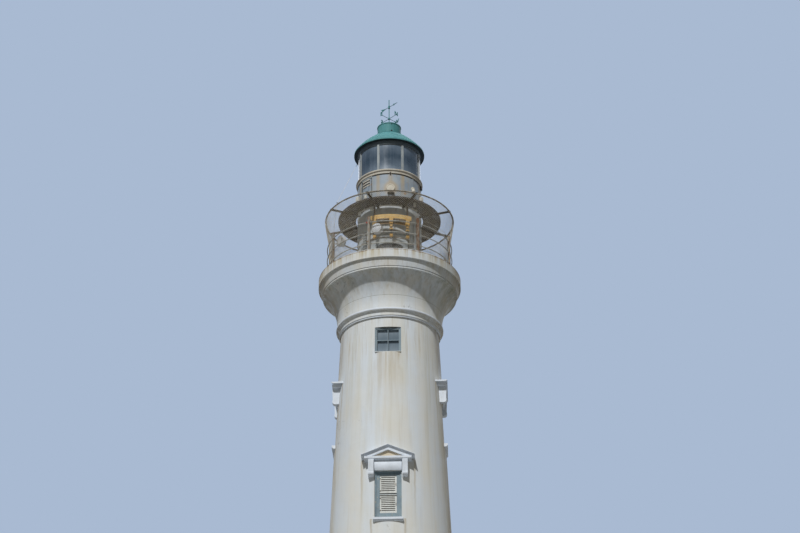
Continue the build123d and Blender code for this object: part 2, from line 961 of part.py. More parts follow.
# Wind vane: a sleeve that turns on the mast, with a point and a swallow-tailed plate
vane_foot = vane_seat + vane_seat_gap
rod_level = vane_foot + vane_hub_height / 2
with BuildPart() as wind_vane:
    with BuildSketch(Plane.XY.offset(vane_foot)):
        Circle(vane_hub_radius)
    extrude(amount=vane_hub_height)
    with BuildSketch(facing(vane_bearing, rod_level)):
        Circle(vane_rod_radius)
    extrude(amount=vane_tail_reach)
    with BuildSketch(facing(vane_bearing + 180, rod_level)):
        Circle(vane_rod_radius)
    extrude(amount=vane_point_reach)
    with BuildSketch(facing(vane_bearing + 90, rod_level, -vane_plate_thickness / 2)):
        with BuildLine():
            Polyline(
                (vane_tail_reach, -vane_plate_height / 2),
                (vane_tail_reach - vane_notch, 0),
                (vane_tail_reach, vane_plate_height / 2),
                (vane_tail_reach - vane_plate_length, 0),
                close=True,
            )
        make_face()
        with BuildLine():
            Polyline(
                (-vane_point_reach, 0),
                (-vane_point_reach + vane_head_length, vane_head_height / 2),
                (-vane_point_reach + vane_head_length, -vane_head_height / 2),
                close=True,
            )
        make_face()
    extrude(amount=vane_plate_thickness)
    with BuildSketch(Plane.XY.offset(vane_foot)):
        Circle(mast_radius + vane_clearance)
    extrude(amount=vane_hub_height, mode=Mode.SUBTRACT)
save(wind_vane, "wind_vane")

# Upper walkway: eight plates whose joints lie over the brackets
with BuildPart() as upper_walkway:
    with BuildSketch(Plane.XY.offset(walkway_level)):
        Circle(walkway_radius)
        Circle(walkway_inner_radius, mode=Mode.SUBTRACT)
        with PolarLocations(
            0, bracket_count, start_angle=lantern_turn - 90 + 180 / bracket_count
        ):
            Rectangle(
                deck_radius, plate_joint, align=(Align.MIN, Align.CENTER), mode=Mode.SUBTRACT
            )
    extrude(amount=walkway_thickness)
save(upper_walkway, "upper_walkway")

# Brackets from the drum out to the cage ring, and the ring in eight bays between them
bracket_level = walkway_level - bracket_depth
bracket_reach = cage_ring_radius + cage_tube_radius
ring_level = bracket_level + (bracket_depth - bracket_plate) / 2
with BuildPart() as walkway_brackets:
    for bearing in bearings(bracket_count, lantern_turn):
        with BuildSketch(facing(bearing, bracket_level)):
            Rectangle(bracket_plate, bracket_depth, align=(Align.CENTER, Align.MIN))
            with Locations((0, bracket_depth)):
                Rectangle(bracket_width, bracket_plate, align=(Align.CENTER, Align.MAX))
        extrude(amount=bracket_reach)
    with BuildSketch(Plane.XY.offset(bracket_level)):
        Circle(drum_radius)
    extrude(amount=bracket_depth, mode=Mode.SUBTRACT)
save(walkway_brackets, "walkway_brackets")

with BuildPart() as cage_ring:
    with BuildSketch(Plane.XZ):
        with Locations((cage_ring_radius, ring_level)):
            RegularPolygon(cage_tube_radius, 8, major_radius=False, rotation=22.5)
    revolve(axis=Axis.Z)
    add(walkway_brackets.part, mode=Mode.SUBTRACT)
save(cage_ring, "cage_ring")

# Gallery railing: posts on the deck, and three rails in each bay between them
with BuildPart() as railing_posts:
    for bearing in bearings(post_count, gallery_turn):
        with BuildSketch(facing(bearing, gallery_level, post_radius + post_size / 2)):
            Rectangle(post_size, post_height, align=(Align.CENTER, Align.MIN))
        extrude(amount=-post_size)
        with BuildSketch(facing(bearing, gallery_level, post_radius + post_foot_size / 2)):
            Rectangle(post_foot_size, post_foot_thickness, align=(Align.CENTER, Align.MIN))
        extrude(amount=-post_foot_size)
save(railing_posts, "railing_posts")

with BuildPart() as gallery_rails:
    for height in rail_heights:
        with BuildSketch(Plane.XZ):
            with Locations((post_radius, gallery_level + height)):
                RegularPolygon(rail_radius, 6, major_radius=False, rotation=30)
        revolve(axis=Axis.Z)
    add(railing_posts.part, mode=Mode.SUBTRACT)
save(gallery_rails, "gallery_rails")

# Rack of signal units hung from two of the brackets
rack_top = bracket_level - rack_drop
front_brackets = (lantern_turn - 180.0 / bracket_count, lantern_turn + 180.0 / bracket_count)
with BuildPart() as equipment_rack:
    with BuildSketch(Plane.XY.offset(rack_top - rack_height)):
        with BuildLine():
            outer = CenterArc(
                (0, 0), rack_radius, lantern_turn - 90 - rack_half_angle, 2 * rack_half_angle
            )
            inner = CenterArc(
                (0, 0),
                rack_radius - rack_thickness,
                lantern_turn - 90 - rack_half_angle,
                2 * rack_half_angle,
            )
            Line(outer @ 0, inner @ 0)
            Line(outer @ 1, inner @ 1)
        make_face()
    extrude(amount=rack_height)
    for bearing in front_brackets:
        with BuildSketch(facing(bearing, rack_top, rack_radius)):
            Rectangle(hanger_size, rack_drop, align=(Align.CENTER, Align.MIN))
        extrude(amount=-rack_thickness)
save(equipment_rack, "equipment_rack")

with BuildPart() as signal_units:
    for bearing in (front_brackets[0], lantern_turn, front_brackets[1]):
        with BuildSketch(facing(bearing, rack_top - rack_height - unit_drop, rack_radius)):
            Rectangle(unit_width, unit_drop, align=(Align.CENTER, Align.MIN))
        extrude(amount=-unit_depth)
save(signal_units, "signal_units")

# Two drum aerials, each on a cranked arm from the inside of a railing post
post_inside = post_radius - post_size / 2
aerial_face = post_inside - aerial_setback
aerial_level = gallery_level + aerial_height
with BuildPart() as drum_aerials:
    for post in aerial_posts:
        bearing = gallery_turn + (post + 0.5) * 360.0 / post_count
        with BuildSketch(facing(bearing, aerial_level, aerial_face)):
            with Locations((aerial_offset, 0)):
                Circle(aerial_radius)
        extrude(amount=-aerial_depth)
        with BuildSketch(facing(bearing, aerial_level, post_inside)):
            Rectangle(aerial_arm_size, aerial_arm_size)
        extrude(amount=-aerial_setback - 2 * aerial_arm_size)
        with BuildSketch(facing(bearing, aerial_level, aerial_face - aerial_arm_size)):
            Rectangle(aerial_offset, aerial_arm_size, align=(Align.MIN, Align.CENTER))
        extrude(amount=-aerial_arm_size)
save(drum_aerials, "drum_aerials")

# Lightning wire: a straight fall from the eave to the ring, a bend over it, and on to the post
wire_start = facing(wire_eave_bearing, head_top, roof_radius - wire_eave_inset).origin
wire_knee = facing(
    wire_ring_bearing,
    ring_level + cage_tube_radius + wire_ring_clearance,
    cage_ring_radius + cage_tube_radius + wire_ring_clearance,
).origin
wire_post_bearing = gallery_turn + (wire_post + 0.5) * 360.0 / post_count
wire_end = facing(wire_post_bearing, gallery_level + post_height, post_radius).origin


def held_off(point, towards):
    """The wire's end, drawn back along its run until its rim only touches the level face."""
    run = (towards - point).normalized()
    return point + run * (wire_radius * hypot(run.X, run.Y) / abs(run.Z))


wire_start = held_off(wire_start, wire_knee)
wire_end = held_off(wire_end, wire_knee)
with BuildPart() as lightning_wire:
    with BuildLine() as wire_path:
        FilletPolyline(wire_start, wire_knee, wire_end, radius=wire_bend_radius)
    with BuildSketch(Plane(origin=wire_start, z_dir=wire_path.line % 0)):
        Circle(wire_radius)
    sweep(path=wire_path.line)
save(lightning_wire, "lightning_wire")

print(f"height {mast_top - ground:.0f} mm, gallery at {gallery_level:.0f} mm")
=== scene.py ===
# %% [markdown]
# # Dressing a masonry lighthouse
# The tower's solids come from the CAD model as a fixed frame: each one is already a Blender object, in
# metres, at its real place. This script never moves them. It gives each surface the finish that salt,
# rain and sun left on the real tower, and adds what is too fine for the solids: the cage's chain-link,
# rivets, hinges, conduit, clamps and the letters of the compass.

# %% Load the frame
import math

import bmesh
import bpy
import numpy as np
from mathutils import Matrix, Vector


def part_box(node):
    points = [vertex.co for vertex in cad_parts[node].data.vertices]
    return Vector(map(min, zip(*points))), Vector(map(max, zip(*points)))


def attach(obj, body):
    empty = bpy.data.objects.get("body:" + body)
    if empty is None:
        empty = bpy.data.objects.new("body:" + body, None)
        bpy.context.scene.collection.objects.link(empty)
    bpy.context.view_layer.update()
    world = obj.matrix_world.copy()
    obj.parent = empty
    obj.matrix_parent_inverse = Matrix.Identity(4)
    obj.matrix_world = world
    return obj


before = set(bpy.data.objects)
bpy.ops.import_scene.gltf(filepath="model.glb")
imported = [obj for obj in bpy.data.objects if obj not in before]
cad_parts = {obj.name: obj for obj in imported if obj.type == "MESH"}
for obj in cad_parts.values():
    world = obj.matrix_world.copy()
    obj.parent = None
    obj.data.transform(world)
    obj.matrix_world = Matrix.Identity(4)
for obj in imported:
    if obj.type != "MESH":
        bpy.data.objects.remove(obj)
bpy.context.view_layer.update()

# %% [markdown]
# ## The photographer's place
# The photo was taken from the ground some way down a slope, with a long lens pointed up at 29 degrees.
# Ellipses such as the roof's rim and the gallery's lip gave that angle, so the same camera shows the
# same faces: undersides of every ledge, and no tops. The camera is built from three plain turns rather
# than aimed at a point, because the turns are what the photo's ellipses and its slight lean measure.

# %% Camera
lens_mm, sensor_mm = 90.0, 36.0
camera_bearing = 2.2
camera_distance = 62.0
camera_height = -11.45
camera_pitch = 29.0
camera_pan = 0.34
camera_roll = -0.36


def about_axis(bearing, radius, height):
    """A point at a bearing in degrees about the tower's axis, from the front towards +X."""
    turn = math.radians(bearing)
    return Vector((radius * math.sin(turn), -radius * math.cos(turn), height))


camera_data = bpy.data.cameras.new("camera")
camera_data.lens = lens_mm
camera_data.sensor_width = sensor_mm
camera_data.clip_end = 500.0
camera = bpy.data.objects.new("camera", camera_data)
bpy.context.scene.collection.objects.link(camera)
camera.matrix_world = (
    Matrix.Translation(about_axis(camera_bearing, camera_distance, camera_height))
    @ Matrix.Rotation(math.radians(camera_bearing - camera_pan), 4, "Z")
    @ Matrix.Rotation(math.radians(90.0 + camera_pitch), 4, "X")
    @ Matrix.Rotation(math.radians(camera_roll), 4, "Z")
)
bpy.context.scene.camera = camera
print("camera at", tuple(round(c, 2) for c in camera.location))

# %% [markdown]
# ## Shader sums in plain Python
# Blender's materials are graphs of nodes, which are slow to read when they are built one link at a
# time. `Value` wraps one socket, and its operators add the Math node for each sum, so `1 - mask * 0.5`
# reads as it would on paper. `maths` and `vector` add the sums that have no operator, and `node` adds
# every other kind: settings are set first, because some of them change which sockets the node has.

# %% Value: a socket that takes part in sums
class Value:
    """One output of a material's nodes; without a socket, the empty sheet that nodes are added to."""

    def __init__(self, tree, socket=None):
        self.tree = tree
        self.socket = socket

    def node(self, kind, settings=None, sockets=None, output=0):
        """Add a node with its settings and its socket values or links; return one of its outputs."""
        made = self.tree.nodes.new(kind)
        for name, setting in (settings or {}).items():
            setattr(made, name, setting)
        for name, given in (sockets or {}).items():
            if isinstance(given, Value):
                self.tree.links.new(given.socket, made.inputs[name])
            else:
                made.inputs[name].default_value = given
        return Value(self.tree, made.outputs[output] if made.outputs else None)

    def maths(self, operation, *operands):
        return self.node("ShaderNodeMath", {"operation": operation}, dict(enumerate(operands)))

    def vector(self, operation, *operands, output=0):
        settings = {"operation": operation}
        return self.node("ShaderNodeVectorMath", settings, dict(enumerate(operands)), output)

    def __abs__(self):
        return self.maths("ABSOLUTE", self)

    def __add__(self, other):
        return self.maths("ADD", self, other)

    def __sub__(self, other):
        return self.maths("SUBTRACT", self, other)

    def __rsub__(self, other):
        return self.maths("SUBTRACT", other, self)

    def __mul__(self, other):
        return self.maths("MULTIPLY", self, other)

    def __truediv__(self, other):
        return self.maths("DIVIDE", self, other)

    __radd__ = __add__


# %% [markdown]
# ## Masks and patterns
# A weathered finish is a few masks laid over each other: where the paint is sound, where water runs,
# where rust breaks out. Each mask is a number from 0 to 1 over the surface. Coordinates are the
# object's own, which here are metres from the tower's foot, so a streak that crosses from one solid to
# the next carries straight on, and a pattern's size is its real size.

# %% Helpers for masks
def metres(sheet):
    """The surface point in metres, in the tower's frame."""
    return sheet.node("ShaderNodeTexCoord", output="Object")


def step(value, low, high):
    """0 below low and 1 above high, with a smooth rise between them."""
    sockets = {"Value": value, "From Min": low, "From Max": high}
    return value.node("ShaderNodeMapRange", {"interpolation_type": "SMOOTHSTEP"}, sockets)


def spread(point, x, y, z):
    """The point with its axes scaled, which stretches a pattern along the small ones."""
    return point.vector("MULTIPLY", point, (x, y, z))


def shifted(point, x, y, z):
    """The point moved, so that two patterns on one material don't coincide."""
    return point.vector("ADD", point, (x, y, z))


def noise(point, scale, detail=3.0, roughness=0.55):
    """Cloudy noise about 0.5, its largest lumps about 1 / scale metres across."""
    sockets = {"Vector": point, "Scale": scale, "Detail": detail, "Roughness": roughness}
    return point.node("ShaderNodeTexNoise", {}, sockets)


def lumps(point, scale, low, high, detail=3.0, roughness=0.55):
    """A mask from noise, 0 below low and 1 above high; three scales stretch it into streaks."""
    if isinstance(scale, tuple):
        point, scale = spread(point, *scale), 1.0
    return step(noise(point, scale, detail, roughness), low, high)


def cells(point, scale, feature="F1"):
    """The distance within Voronoi cells that are about 1 / scale metres across."""
    sockets = {"Vector": point, "Scale": scale}
    return point.node("ShaderNodeTexVoronoi", {"feature": feature}, sockets, "Distance")


def axis_parts(point):
    """The point's x, y and z as three values."""
    return [point.node("ShaderNodeSeparateXYZ", {}, {"Vector": point}, axis) for axis in "XYZ"]


def downward(sheet):
    """How far the surface faces the ground: 1 straight down, -1 straight up."""
    return 0 - axis_parts(sheet.node("ShaderNodeTexCoord", output="Normal"))[2]


def shade(colour, strength=1.0):
    """A colour as a socket takes it: hex digits become linear light, and others stay as they are."""
    if not isinstance(colour, str):
        return colour
    channels = [int(colour[i : i + 2], 16) / 255.0 for i in (0, 2, 4)]
    linear = [c / 12.92 if c <= 0.04045 else ((c + 0.055) / 1.055) ** 2.4 for c in channels]
    return (*(c * strength for c in linear), 1.0)


def blend(mask, low, high):
    """The colour low where the mask is 0, and high where it is 1."""
    sockets = {0: mask, 6: shade(low), 7: shade(high)}
    return mask.node("ShaderNodeMix", {"data_type": "RGBA"}, sockets, 2)


# %% Turning masks into a material
finishes = {}


def finish(name, recipe, **constants):
    """Make a material. recipe(sheet) returns its varying sockets; "Relief" is a height in metres."""
    material = bpy.data.materials.new(name)
    material.use_nodes = True
    tree = material.node_tree
    tree.nodes.clear()
    output = tree.nodes.new("ShaderNodeOutputMaterial")
    shader = tree.nodes.new("ShaderNodeBsdfPrincipled")
    tree.links.new(shader.outputs["BSDF"], output.inputs["Surface"])
    sheet = Value(tree)
    varying = recipe(sheet)
    relief = varying.pop("Relief", None)
    if relief is not None:
        varying["Normal"] = sheet.node("ShaderNodeBump", {}, {"Height": relief, "Distance": 1.0})
    for socket, value in varying.items():
        tree.links.new(value.socket, shader.inputs[socket])
    for socket, value in constants.items():
        shader.inputs[socket.replace("_", " ")].default_value = value
    finishes[name] = material
    print("finish:", name, len(tree.nodes), "nodes")
    return material


# %% [markdown]
# ## Soft studio light
# A sun-like key stands where the sun stood: high on the left of the photographer, so that the gallery
# throws the same curved shadow into the cove. A second, very soft one behind the tower does what the
# bright sky did there, and keeps the shaded rims from going black. A dim, even world fills the rest.
# The camera sees a plain pale backdrop through Light Path, which doesn't light the tower, and glass and
# metal see that backdrop too.

# %% Key and fill
def sun(name, bearing, elevation, strength, softness):
    """A sun lamp at a bearing and an elevation; softness is the width of its disc in degrees."""
    lamp_data = bpy.data.lights.new(name, "SUN")
    lamp_data.energy = strength
    lamp_data.angle = math.radians(softness)
    lamp = bpy.data.objects.new(name, lamp_data)
    bpy.context.scene.collection.objects.link(lamp)
    rise = math.radians(elevation)
    towards = about_axis(bearing, math.cos(rise), math.sin(rise))
    lamp.rotation_euler = towards.to_track_quat("Z", "Y").to_euler()
    print(name, "light from", tuple(round(c, 2) for c in towards))


sun("key", bearing=-13.0, elevation=47.0, strength=2.75, softness=1.8)
sun("fill", bearing=172.0, elevation=34.0, strength=1.1, softness=70.0)

# %% World and backdrop
world_strength = 0.22
world_colour = "f0ece2"
backdrop_colour = "a9bad2"

world = bpy.data.worlds.new("studio")
bpy.context.scene.world = world
world.use_nodes = True
world.node_tree.nodes.clear()
sky = Value(world.node_tree)
camera_ray, glossy_ray, glass_ray = (
    sky.node("ShaderNodeLightPath", {}, {}, ray)
    for ray in ("Is Camera Ray", "Is Glossy Ray", "Is Transmission Ray")
)
seen = sky.maths("MINIMUM", camera_ray + glossy_ray + glass_ray, 1.0)
light, plain = (
    sky.node("ShaderNodeBackground", {}, {"Color": shade(colour), "Strength": strength})
    for colour, strength in ((world_colour, world_strength), (backdrop_colour, 1.0))
)
both = sky.node("ShaderNodeMixShader", {}, {0: seen, 1: light, 2: plain})
sky.node("ShaderNodeOutputWorld", {}, {"Surface": both})
bpy.context.scene.view_settings.view_transform = "Standard"
print("world strength:", world_strength)

# %% Floor
floor_radius = 11.0
floor_colour = "c4c5c6"


def floor_paint(sheet):
    cloudy = noise(metres(sheet), 0.8, 4.0)
    return {"Base Color": blend(cloudy, shade(floor_colour, 0.97), floor_colour)}


floor_mesh = bpy.data.meshes.new("floor")
floor_shape = bmesh.new()
bmesh.ops.create_circle(floor_shape, cap_ends=True, radius=floor_radius, segments=128)
floor_shape.to_mesh(floor_mesh)
floor_shape.free()
floor = bpy.data.objects.new("floor", floor_mesh)
bpy.context.scene.collection.objects.link(floor)
floor.location.z = -0.002
floor_mesh.materials.append(finish("studio_floor", floor_paint, Roughness=0.9))

# %% [markdown]
# ## Lime paint on masonry
# Nearly all of the tower is render under many coats of white paint. Close to, it is sandy and slightly
# wavy from the trowel, with hairline cracks and squares where someone repainted. From further off, what
# shows is water: ochre runs hang from every ledge, and the two sides that the wind drives rain against
# are the most stained. Image textures could hold such runs, but they would need seams around the
# tower; noise stretched along z has none, and runs straight from one solid to the next.

# %% Levels and radii that the stains hang from
gallery_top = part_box("gallery_deck")[1].z
gallery_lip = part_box("gallery_deck")[0].z
cove_head = gallery_lip - 0.34
neck_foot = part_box("gallery_neck")[0].z
string_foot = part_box("string_course")[0].z
shaft_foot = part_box("shaft_storey_1")[0].z
storey_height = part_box("shaft_storey_1")[1].z - shaft_foot
tall_window_height = 1.675
tall_window_rise = 1.23
tall_sills = [shaft_foot + storey * storey_height + tall_window_rise for storey in range(4)]
pour_line = neck_foot + 0.473
square_foot, square_head = (corner.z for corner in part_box("top_window_frames"))
print("tall window sills at", [round(sill, 2) for sill in tall_sills])

shaft_head_radius, shaft_batter = 1.702, 0.0434


def shaft_radius(height):
    """Radius of the shaft's outside, which tapers evenly to the string course."""
    return shaft_head_radius + shaft_batter * (string_foot - height)


# %% Runs of stain
hood_half, sill_half = 0.87, 0.55


def hanging(z, top, reach):
    """1 just under a level, fading to 0 that far below it, and 0 above it."""
    return step(z, top - reach, top) * (1 - step(z, top, top + 0.02))


def drip_line(across, z, edge, top, reach, width):
    """Two narrow runs, left and right of a window, that start at a level and fade as they fall."""
    return (1 - step(abs(abs(across) - edge), 0.0, width)) * hanging(z, top, reach)


def window_drips(point, x, y, z):
    """The runs from the ends of each hood and each sill, wandering a little as they fall."""
    wander = (noise(spread(point, 1.0, 1.0, 1.3), 2.0, 2.0) - 0.5) * 0.07
    total = None
    for storey, sill in enumerate(tall_sills):
        across = (x if storey % 2 == 0 else y) + wander
        head = sill + tall_window_height
        pair = drip_line(across, z, hood_half, head + 0.42, 2.6, 0.055) * 0.9
        pair = pair + drip_line(across, z, sill_half, sill - 0.02, 1.3, 0.06)
        total = pair if total is None else total + pair
    return total


def under_square_window(point, x, z):
    """The stain as wide as the square window, from its flaking sill down the wall."""
    wander = (noise(spread(point, 1.0, 1.0, 0.8), 3.0, 3.0) - 0.5) * 0.25
    wide = 1 - step(abs(x + wander), 0.30, 0.48)
    streaks = lumps(point, (9.0, 9.0, 0.2), 0.36, 0.66, 4.0)
    return wide * hanging(z, square_foot, 2.4) * (0.35 + streaks)


# %% Painted masonry
paint_cool = "d6dee5"
paint_warm = "dadad4"
paint_fresh = "dfe3e3"
straw = "b9b18c"
ochre = "a48f60"
rust_brown = "6f5233"
lichen_and_shade = "7f836c"
soot_and_shade = "4b4a41"


def masonry(sheet):
    """Layers of lime paint, then every kind of stain, each hung from the ledge it comes from, and
    painted shade on the cove.
    """
    point = metres(sheet)
    x, y, z = axis_parts(point)
    level = spread(point, 1.0, 1.0, 0.0)
    reach = level.vector("LENGTH", level, output="Value")
    steep = 0.15 + step(downward(sheet), -0.65, -0.30) * 0.85
    weather_side = step(abs(x) / reach, 0.86, 1.0) * steep

    bands = lumps(point, (2.0, 2.0, 0.05), 0.38, 0.62, 3.0, 0.5)
    clouds = lumps(point, 0.8, 0.30, 0.70, 5.0, 0.55)
    colour = blend(bands * 0.55 + clouds * 0.45, paint_cool, paint_warm)
    patches = lumps(shifted(point, 5.0, 2.0, 1.0), 0.7, 0.60, 0.64, 4.0, 0.6)
    colour = blend(patches * 0.30, colour, paint_fresh)

    broad = lumps(point, (3.4, 3.4, 0.05), 0.50, 0.68, 3.0)
    narrow = lumps(point, (10.0, 10.0, 0.10), 0.50, 0.72, 4.0, 0.6)
    threads = lumps(point, (30.0, 30.0, 0.4), 0.52, 0.76, 3.0)
    ledges = (
        hanging(z, gallery_top, 0.40)
        + hanging(z, gallery_lip, 1.2) * 0.45
        + hanging(z, neck_foot, 0.35) * 0.45
        + hanging(z, string_foot, 3.2) * 0.55
        + hanging(z, shaft_foot, 1.2) * 0.8
    )
    high = step(z, shaft_foot + storey_height, string_foot) * 0.30
    colour = blend(broad * (0.05 + high * 0.55), colour, straw)
    runs = (narrow * (0.05 + high * 0.4 + ledges * 0.42) + threads * ledges * 0.34) * steep
    runs = runs + window_drips(point, x, y, z) * 0.55 + under_square_window(point, x, z) * 0.34
    colour = blend(runs.maths("MINIMUM", runs, 0.72), colour, ochre)

    driven = weather_side * lumps(spread(point, 2.4, 2.4, 0.3), 1.6, 0.30, 0.66, 5.0, 0.65)
    colour = blend(driven * 0.60, colour, ochre)
    brown = weather_side * ledges * lumps(point, (5.0, 5.0, 1.0), 0.40, 0.60, 5.0, 0.7)
    colour = blend(brown * 0.80, colour, rust_brown)

    # Under the cove: lichen, laid on thick enough to be partly painted shade. The extra lichen colour
    # on the right (+x) side and over the right of the neck is painted shade.
    under = hanging(z, cove_head, 1.2)
    growth_and_shade = under * lumps(spread(point, 4.0, 4.0, 0.15), 1.4, 0.36, 0.76, 4.0)
    colour = blend(growth_and_shade * (0.36 + step(x, 0.7, 2.1) * 0.26), colour, lichen_and_shade)
    shaded_cove = step(x, 1.0, 2.3) * step(z, neck_foot + 0.3, neck_foot + 0.7)
    colour = blend(shaded_cove * 0.18, colour, lichen_and_shade)
    teeth = lumps(point, (7.0, 7.0, 0.5), 0.46, 0.62, 4.0, 0.6)
    ragged = noise(spread(point, 5.0, 5.0, 2.0), 1.0, 5.0, 0.7) * 0.12
    rim = step(z + ragged, gallery_top - 0.015, gallery_top + 0.005)
    colour = blend(teeth * hanging(z, gallery_top, 0.50) * steep * 0.50, colour, "b09c5e")
    colour = blend(rim * steep * (0.40 + teeth * 0.45), colour, rust_brown)
    trodden = (1 - steep) * lumps(point, 2.2, 0.35, 0.65, 6.0, 0.65)
    trodden = trodden * step(z, gallery_top - 0.02, gallery_top)
    colour = blend(trodden * 0.55, colour, "8f8b7c")
    splashed = lumps(spread(point, 1.5, 1.5, 0.9), 1.5, 0.36, 0.62, 6.0, 0.65)
    splashed = splashed * (1 - step(z, 0.45, 1.5))
    colour = blend(splashed * 0.55, colour, lichen_and_shade)

    wobble = noise(shifted(point, 1.0, 7.0, 3.0), 9.0, 4.0, 0.6) - 0.5
    cracks = 1 - step(cells(point, 1.9, "DISTANCE_TO_EDGE") + wobble * 0.20, 0.0, 0.010)
    cracks = cracks * lumps(shifted(point, 9.0, 0.0, 4.0), 0.6, 0.60, 0.66, 2.0)
    colour = blend(cracks * 0.30, colour, soot_and_shade)
    line = 1 - step(abs(z - pour_line + wobble * 0.02), 0.004, 0.012)
    colour = blend(line * 0.45, colour, lichen_and_shade)

    flakes = lumps(point, 14.0, 0.66, 0.69, 6.0, 0.7) * 0.5
    colour = blend(flakes * 0.5, colour, "a9a594")

    trowel = noise(point, 3.0, 3.0, 0.5) * 0.008
    sand = noise(point, 160.0, 2.0) * 0.0012
    coats = patches * 0.0008 - flakes * 0.0012
    return {
        "Base Color": colour,
        "Roughness": 0.72 + clouds * 0.12 + runs * 0.10,
        "Relief": trowel + sand + coats - cracks * 0.002 - line * 0.004,
    }


finish("lime_paint", masonry)

# %% Fresher paint of hoods and sills
dressing_white = "e2eaf4"
dressing_grey = "d5dde6"
sand_wash = "cfbc9a"
tympanum_rise = tall_window_height + 0.487
tympanum_half, tympanum_tall = 0.58, 0.26


def dressing_paint(sheet):
    """The hoods, consoles and sills: a bluish white coat, and a sandy wash left in each tympanum."""
    point = metres(sheet)
    x, y, z = axis_parts(point)
    clouds = lumps(point, 2.5, 0.34, 0.68, 5.0, 0.6)
    colour = blend(clouds, dressing_white, dressing_grey)
    washed = lumps(point, (16.0, 16.0, 2.0), 0.56, 0.74, 4.0)
    colour = blend(washed * 0.22, colour, straw)
    for storey, sill in enumerate(tall_sills):
        across, out = (abs(x), abs(y)) if storey % 2 == 0 else (abs(y), abs(x))
        foot = sill + tympanum_rise
        share = across / tympanum_half + (z - foot) / tympanum_tall
        inside = (1 - step(share, 0.96, 1.02)) * step(z, foot - 0.01, foot + 0.01)
        wall = shaft_radius(foot + 0.013)
        inside = inside * (1 - step(out, wall + 0.040, wall + 0.060))
        colour = blend(inside * 0.85, colour, sand_wash)
    grit = lumps(point, 16.0, 0.67, 0.70, 6.0, 0.7)
    colour = blend(grit * 0.35, colour, lichen_and_shade)
    return {
        "Base Color": colour,
        "Roughness": 0.66 + clouds * 0.14,
        "Relief": noise(point, 4.0, 3.0) * 0.003 + noise(point, 160.0, 2.0) * 0.0008 - grit * 0.001,
    }


finish("dressing_paint", dressing_paint)

# %% [markdown]
# ## Dressed stone at the foot
# The plinth and the steps are bare coral stone in large blocks. The joints are worked out from the
# surface itself: the run along a straight face is the point measured along the face's own level
# tangent, so the same few nodes lay blocks around all eight sides.

# %% Dressed stone
stone_light = "c9bfa9"
stone_dark = "9c917b"
block_length, course_height = 0.9, 0.5
joint_width = 0.006


def dressed_stone(sheet):
    """Blocks with open joints, darker and damp towards the ground."""
    point = metres(sheet)
    z = axis_parts(point)[2]
    outward = sheet.node("ShaderNodeTexCoord", output="Normal")
    tangent = outward.vector("CROSS_PRODUCT", (0.0, 0.0, 1.0), outward)
    run = tangent.vector("DOT_PRODUCT", tangent, point, output="Value")
    along = run.maths("PINGPONG", run + block_length / 4, block_length / 2)
    course = z.maths("PINGPONG", z, course_height / 2)
    joint = 1 - step(along.maths("MINIMUM", along, course), joint_width / 2, joint_width)
    grain = noise(point, 22.0, 6.0, 0.7)
    clouds = lumps(point, 2.2, 0.34, 0.68, 5.0, 0.6)
    pores = 1 - step(cells(point, 55.0), 0.10, 0.22)
    colour = blend(clouds, stone_dark, stone_light)
    colour = blend(step(grain, 0.45, 0.62) * 0.35, colour, "ddd5c2")
    damp = (1 - step(z, 0.0, 0.30)) * lumps(point, 3.0, 0.35, 0.62, 5.0)
    colour = blend(damp * 0.6, colour, "6d6a55")
    colour = blend(pores * 0.5, colour, "7c725f")
    colour = blend(joint * 0.8, colour, "5d5648")
    return {
        "Base Color": colour,
        "Roughness": 0.80 + grain * 0.15,
        "Relief": grain * 0.004 - pores * 0.002 - joint * 0.006,
    }


finish("dressed_stone", dressed_stone)

# %% [markdown]
# ## Worn paint on wood and steel
# Frames, louvres, plates, rails and posts all share one story: a coat of paint, chalked by the sun,
# chipped in places, over something darker. One recipe tells it, and its arguments say what the coat and
# the bare material look like, how much has gone, and whether the wear runs down in streaks. A function
# that returns the recipe keeps these finishes alike without copying nodes, and a table lists them.

# %% Worn paint
def worn_paint(coat, chalk, bare, wear, grain, runs, stain, gloss=0.55):
    """A recipe for chipped paint. wear is the noise level above which the coat has gone."""

    def recipe(sheet):
        point = metres(sheet)
        texture = noise(spread(point, *grain), 1.0, 6.0, 0.65)
        clouds = lumps(point, 3.0, 0.35, 0.66, 4.0)
        colour = blend(clouds, coat, chalk)
        grime = lumps(point, (12.0, 12.0, 1.2), 0.45, 0.75, 4.0)
        colour = blend(grime * (0.12 + runs), colour, stain)
        chips = step(texture, wear, wear + 0.03)
        edges = step(texture, wear - 0.05, wear) * (1 - chips)
        colour = blend(edges * 0.35, colour, stain)
        colour = blend(chips, colour, bare)
        fine = noise(point, 140.0, 2.0)
        return {
            "Base Color": colour,
            "Roughness": gloss + clouds * 0.15 + chips * 0.20,
            "Relief": fine * 0.0004 - chips * 0.0006,
        }

    return recipe


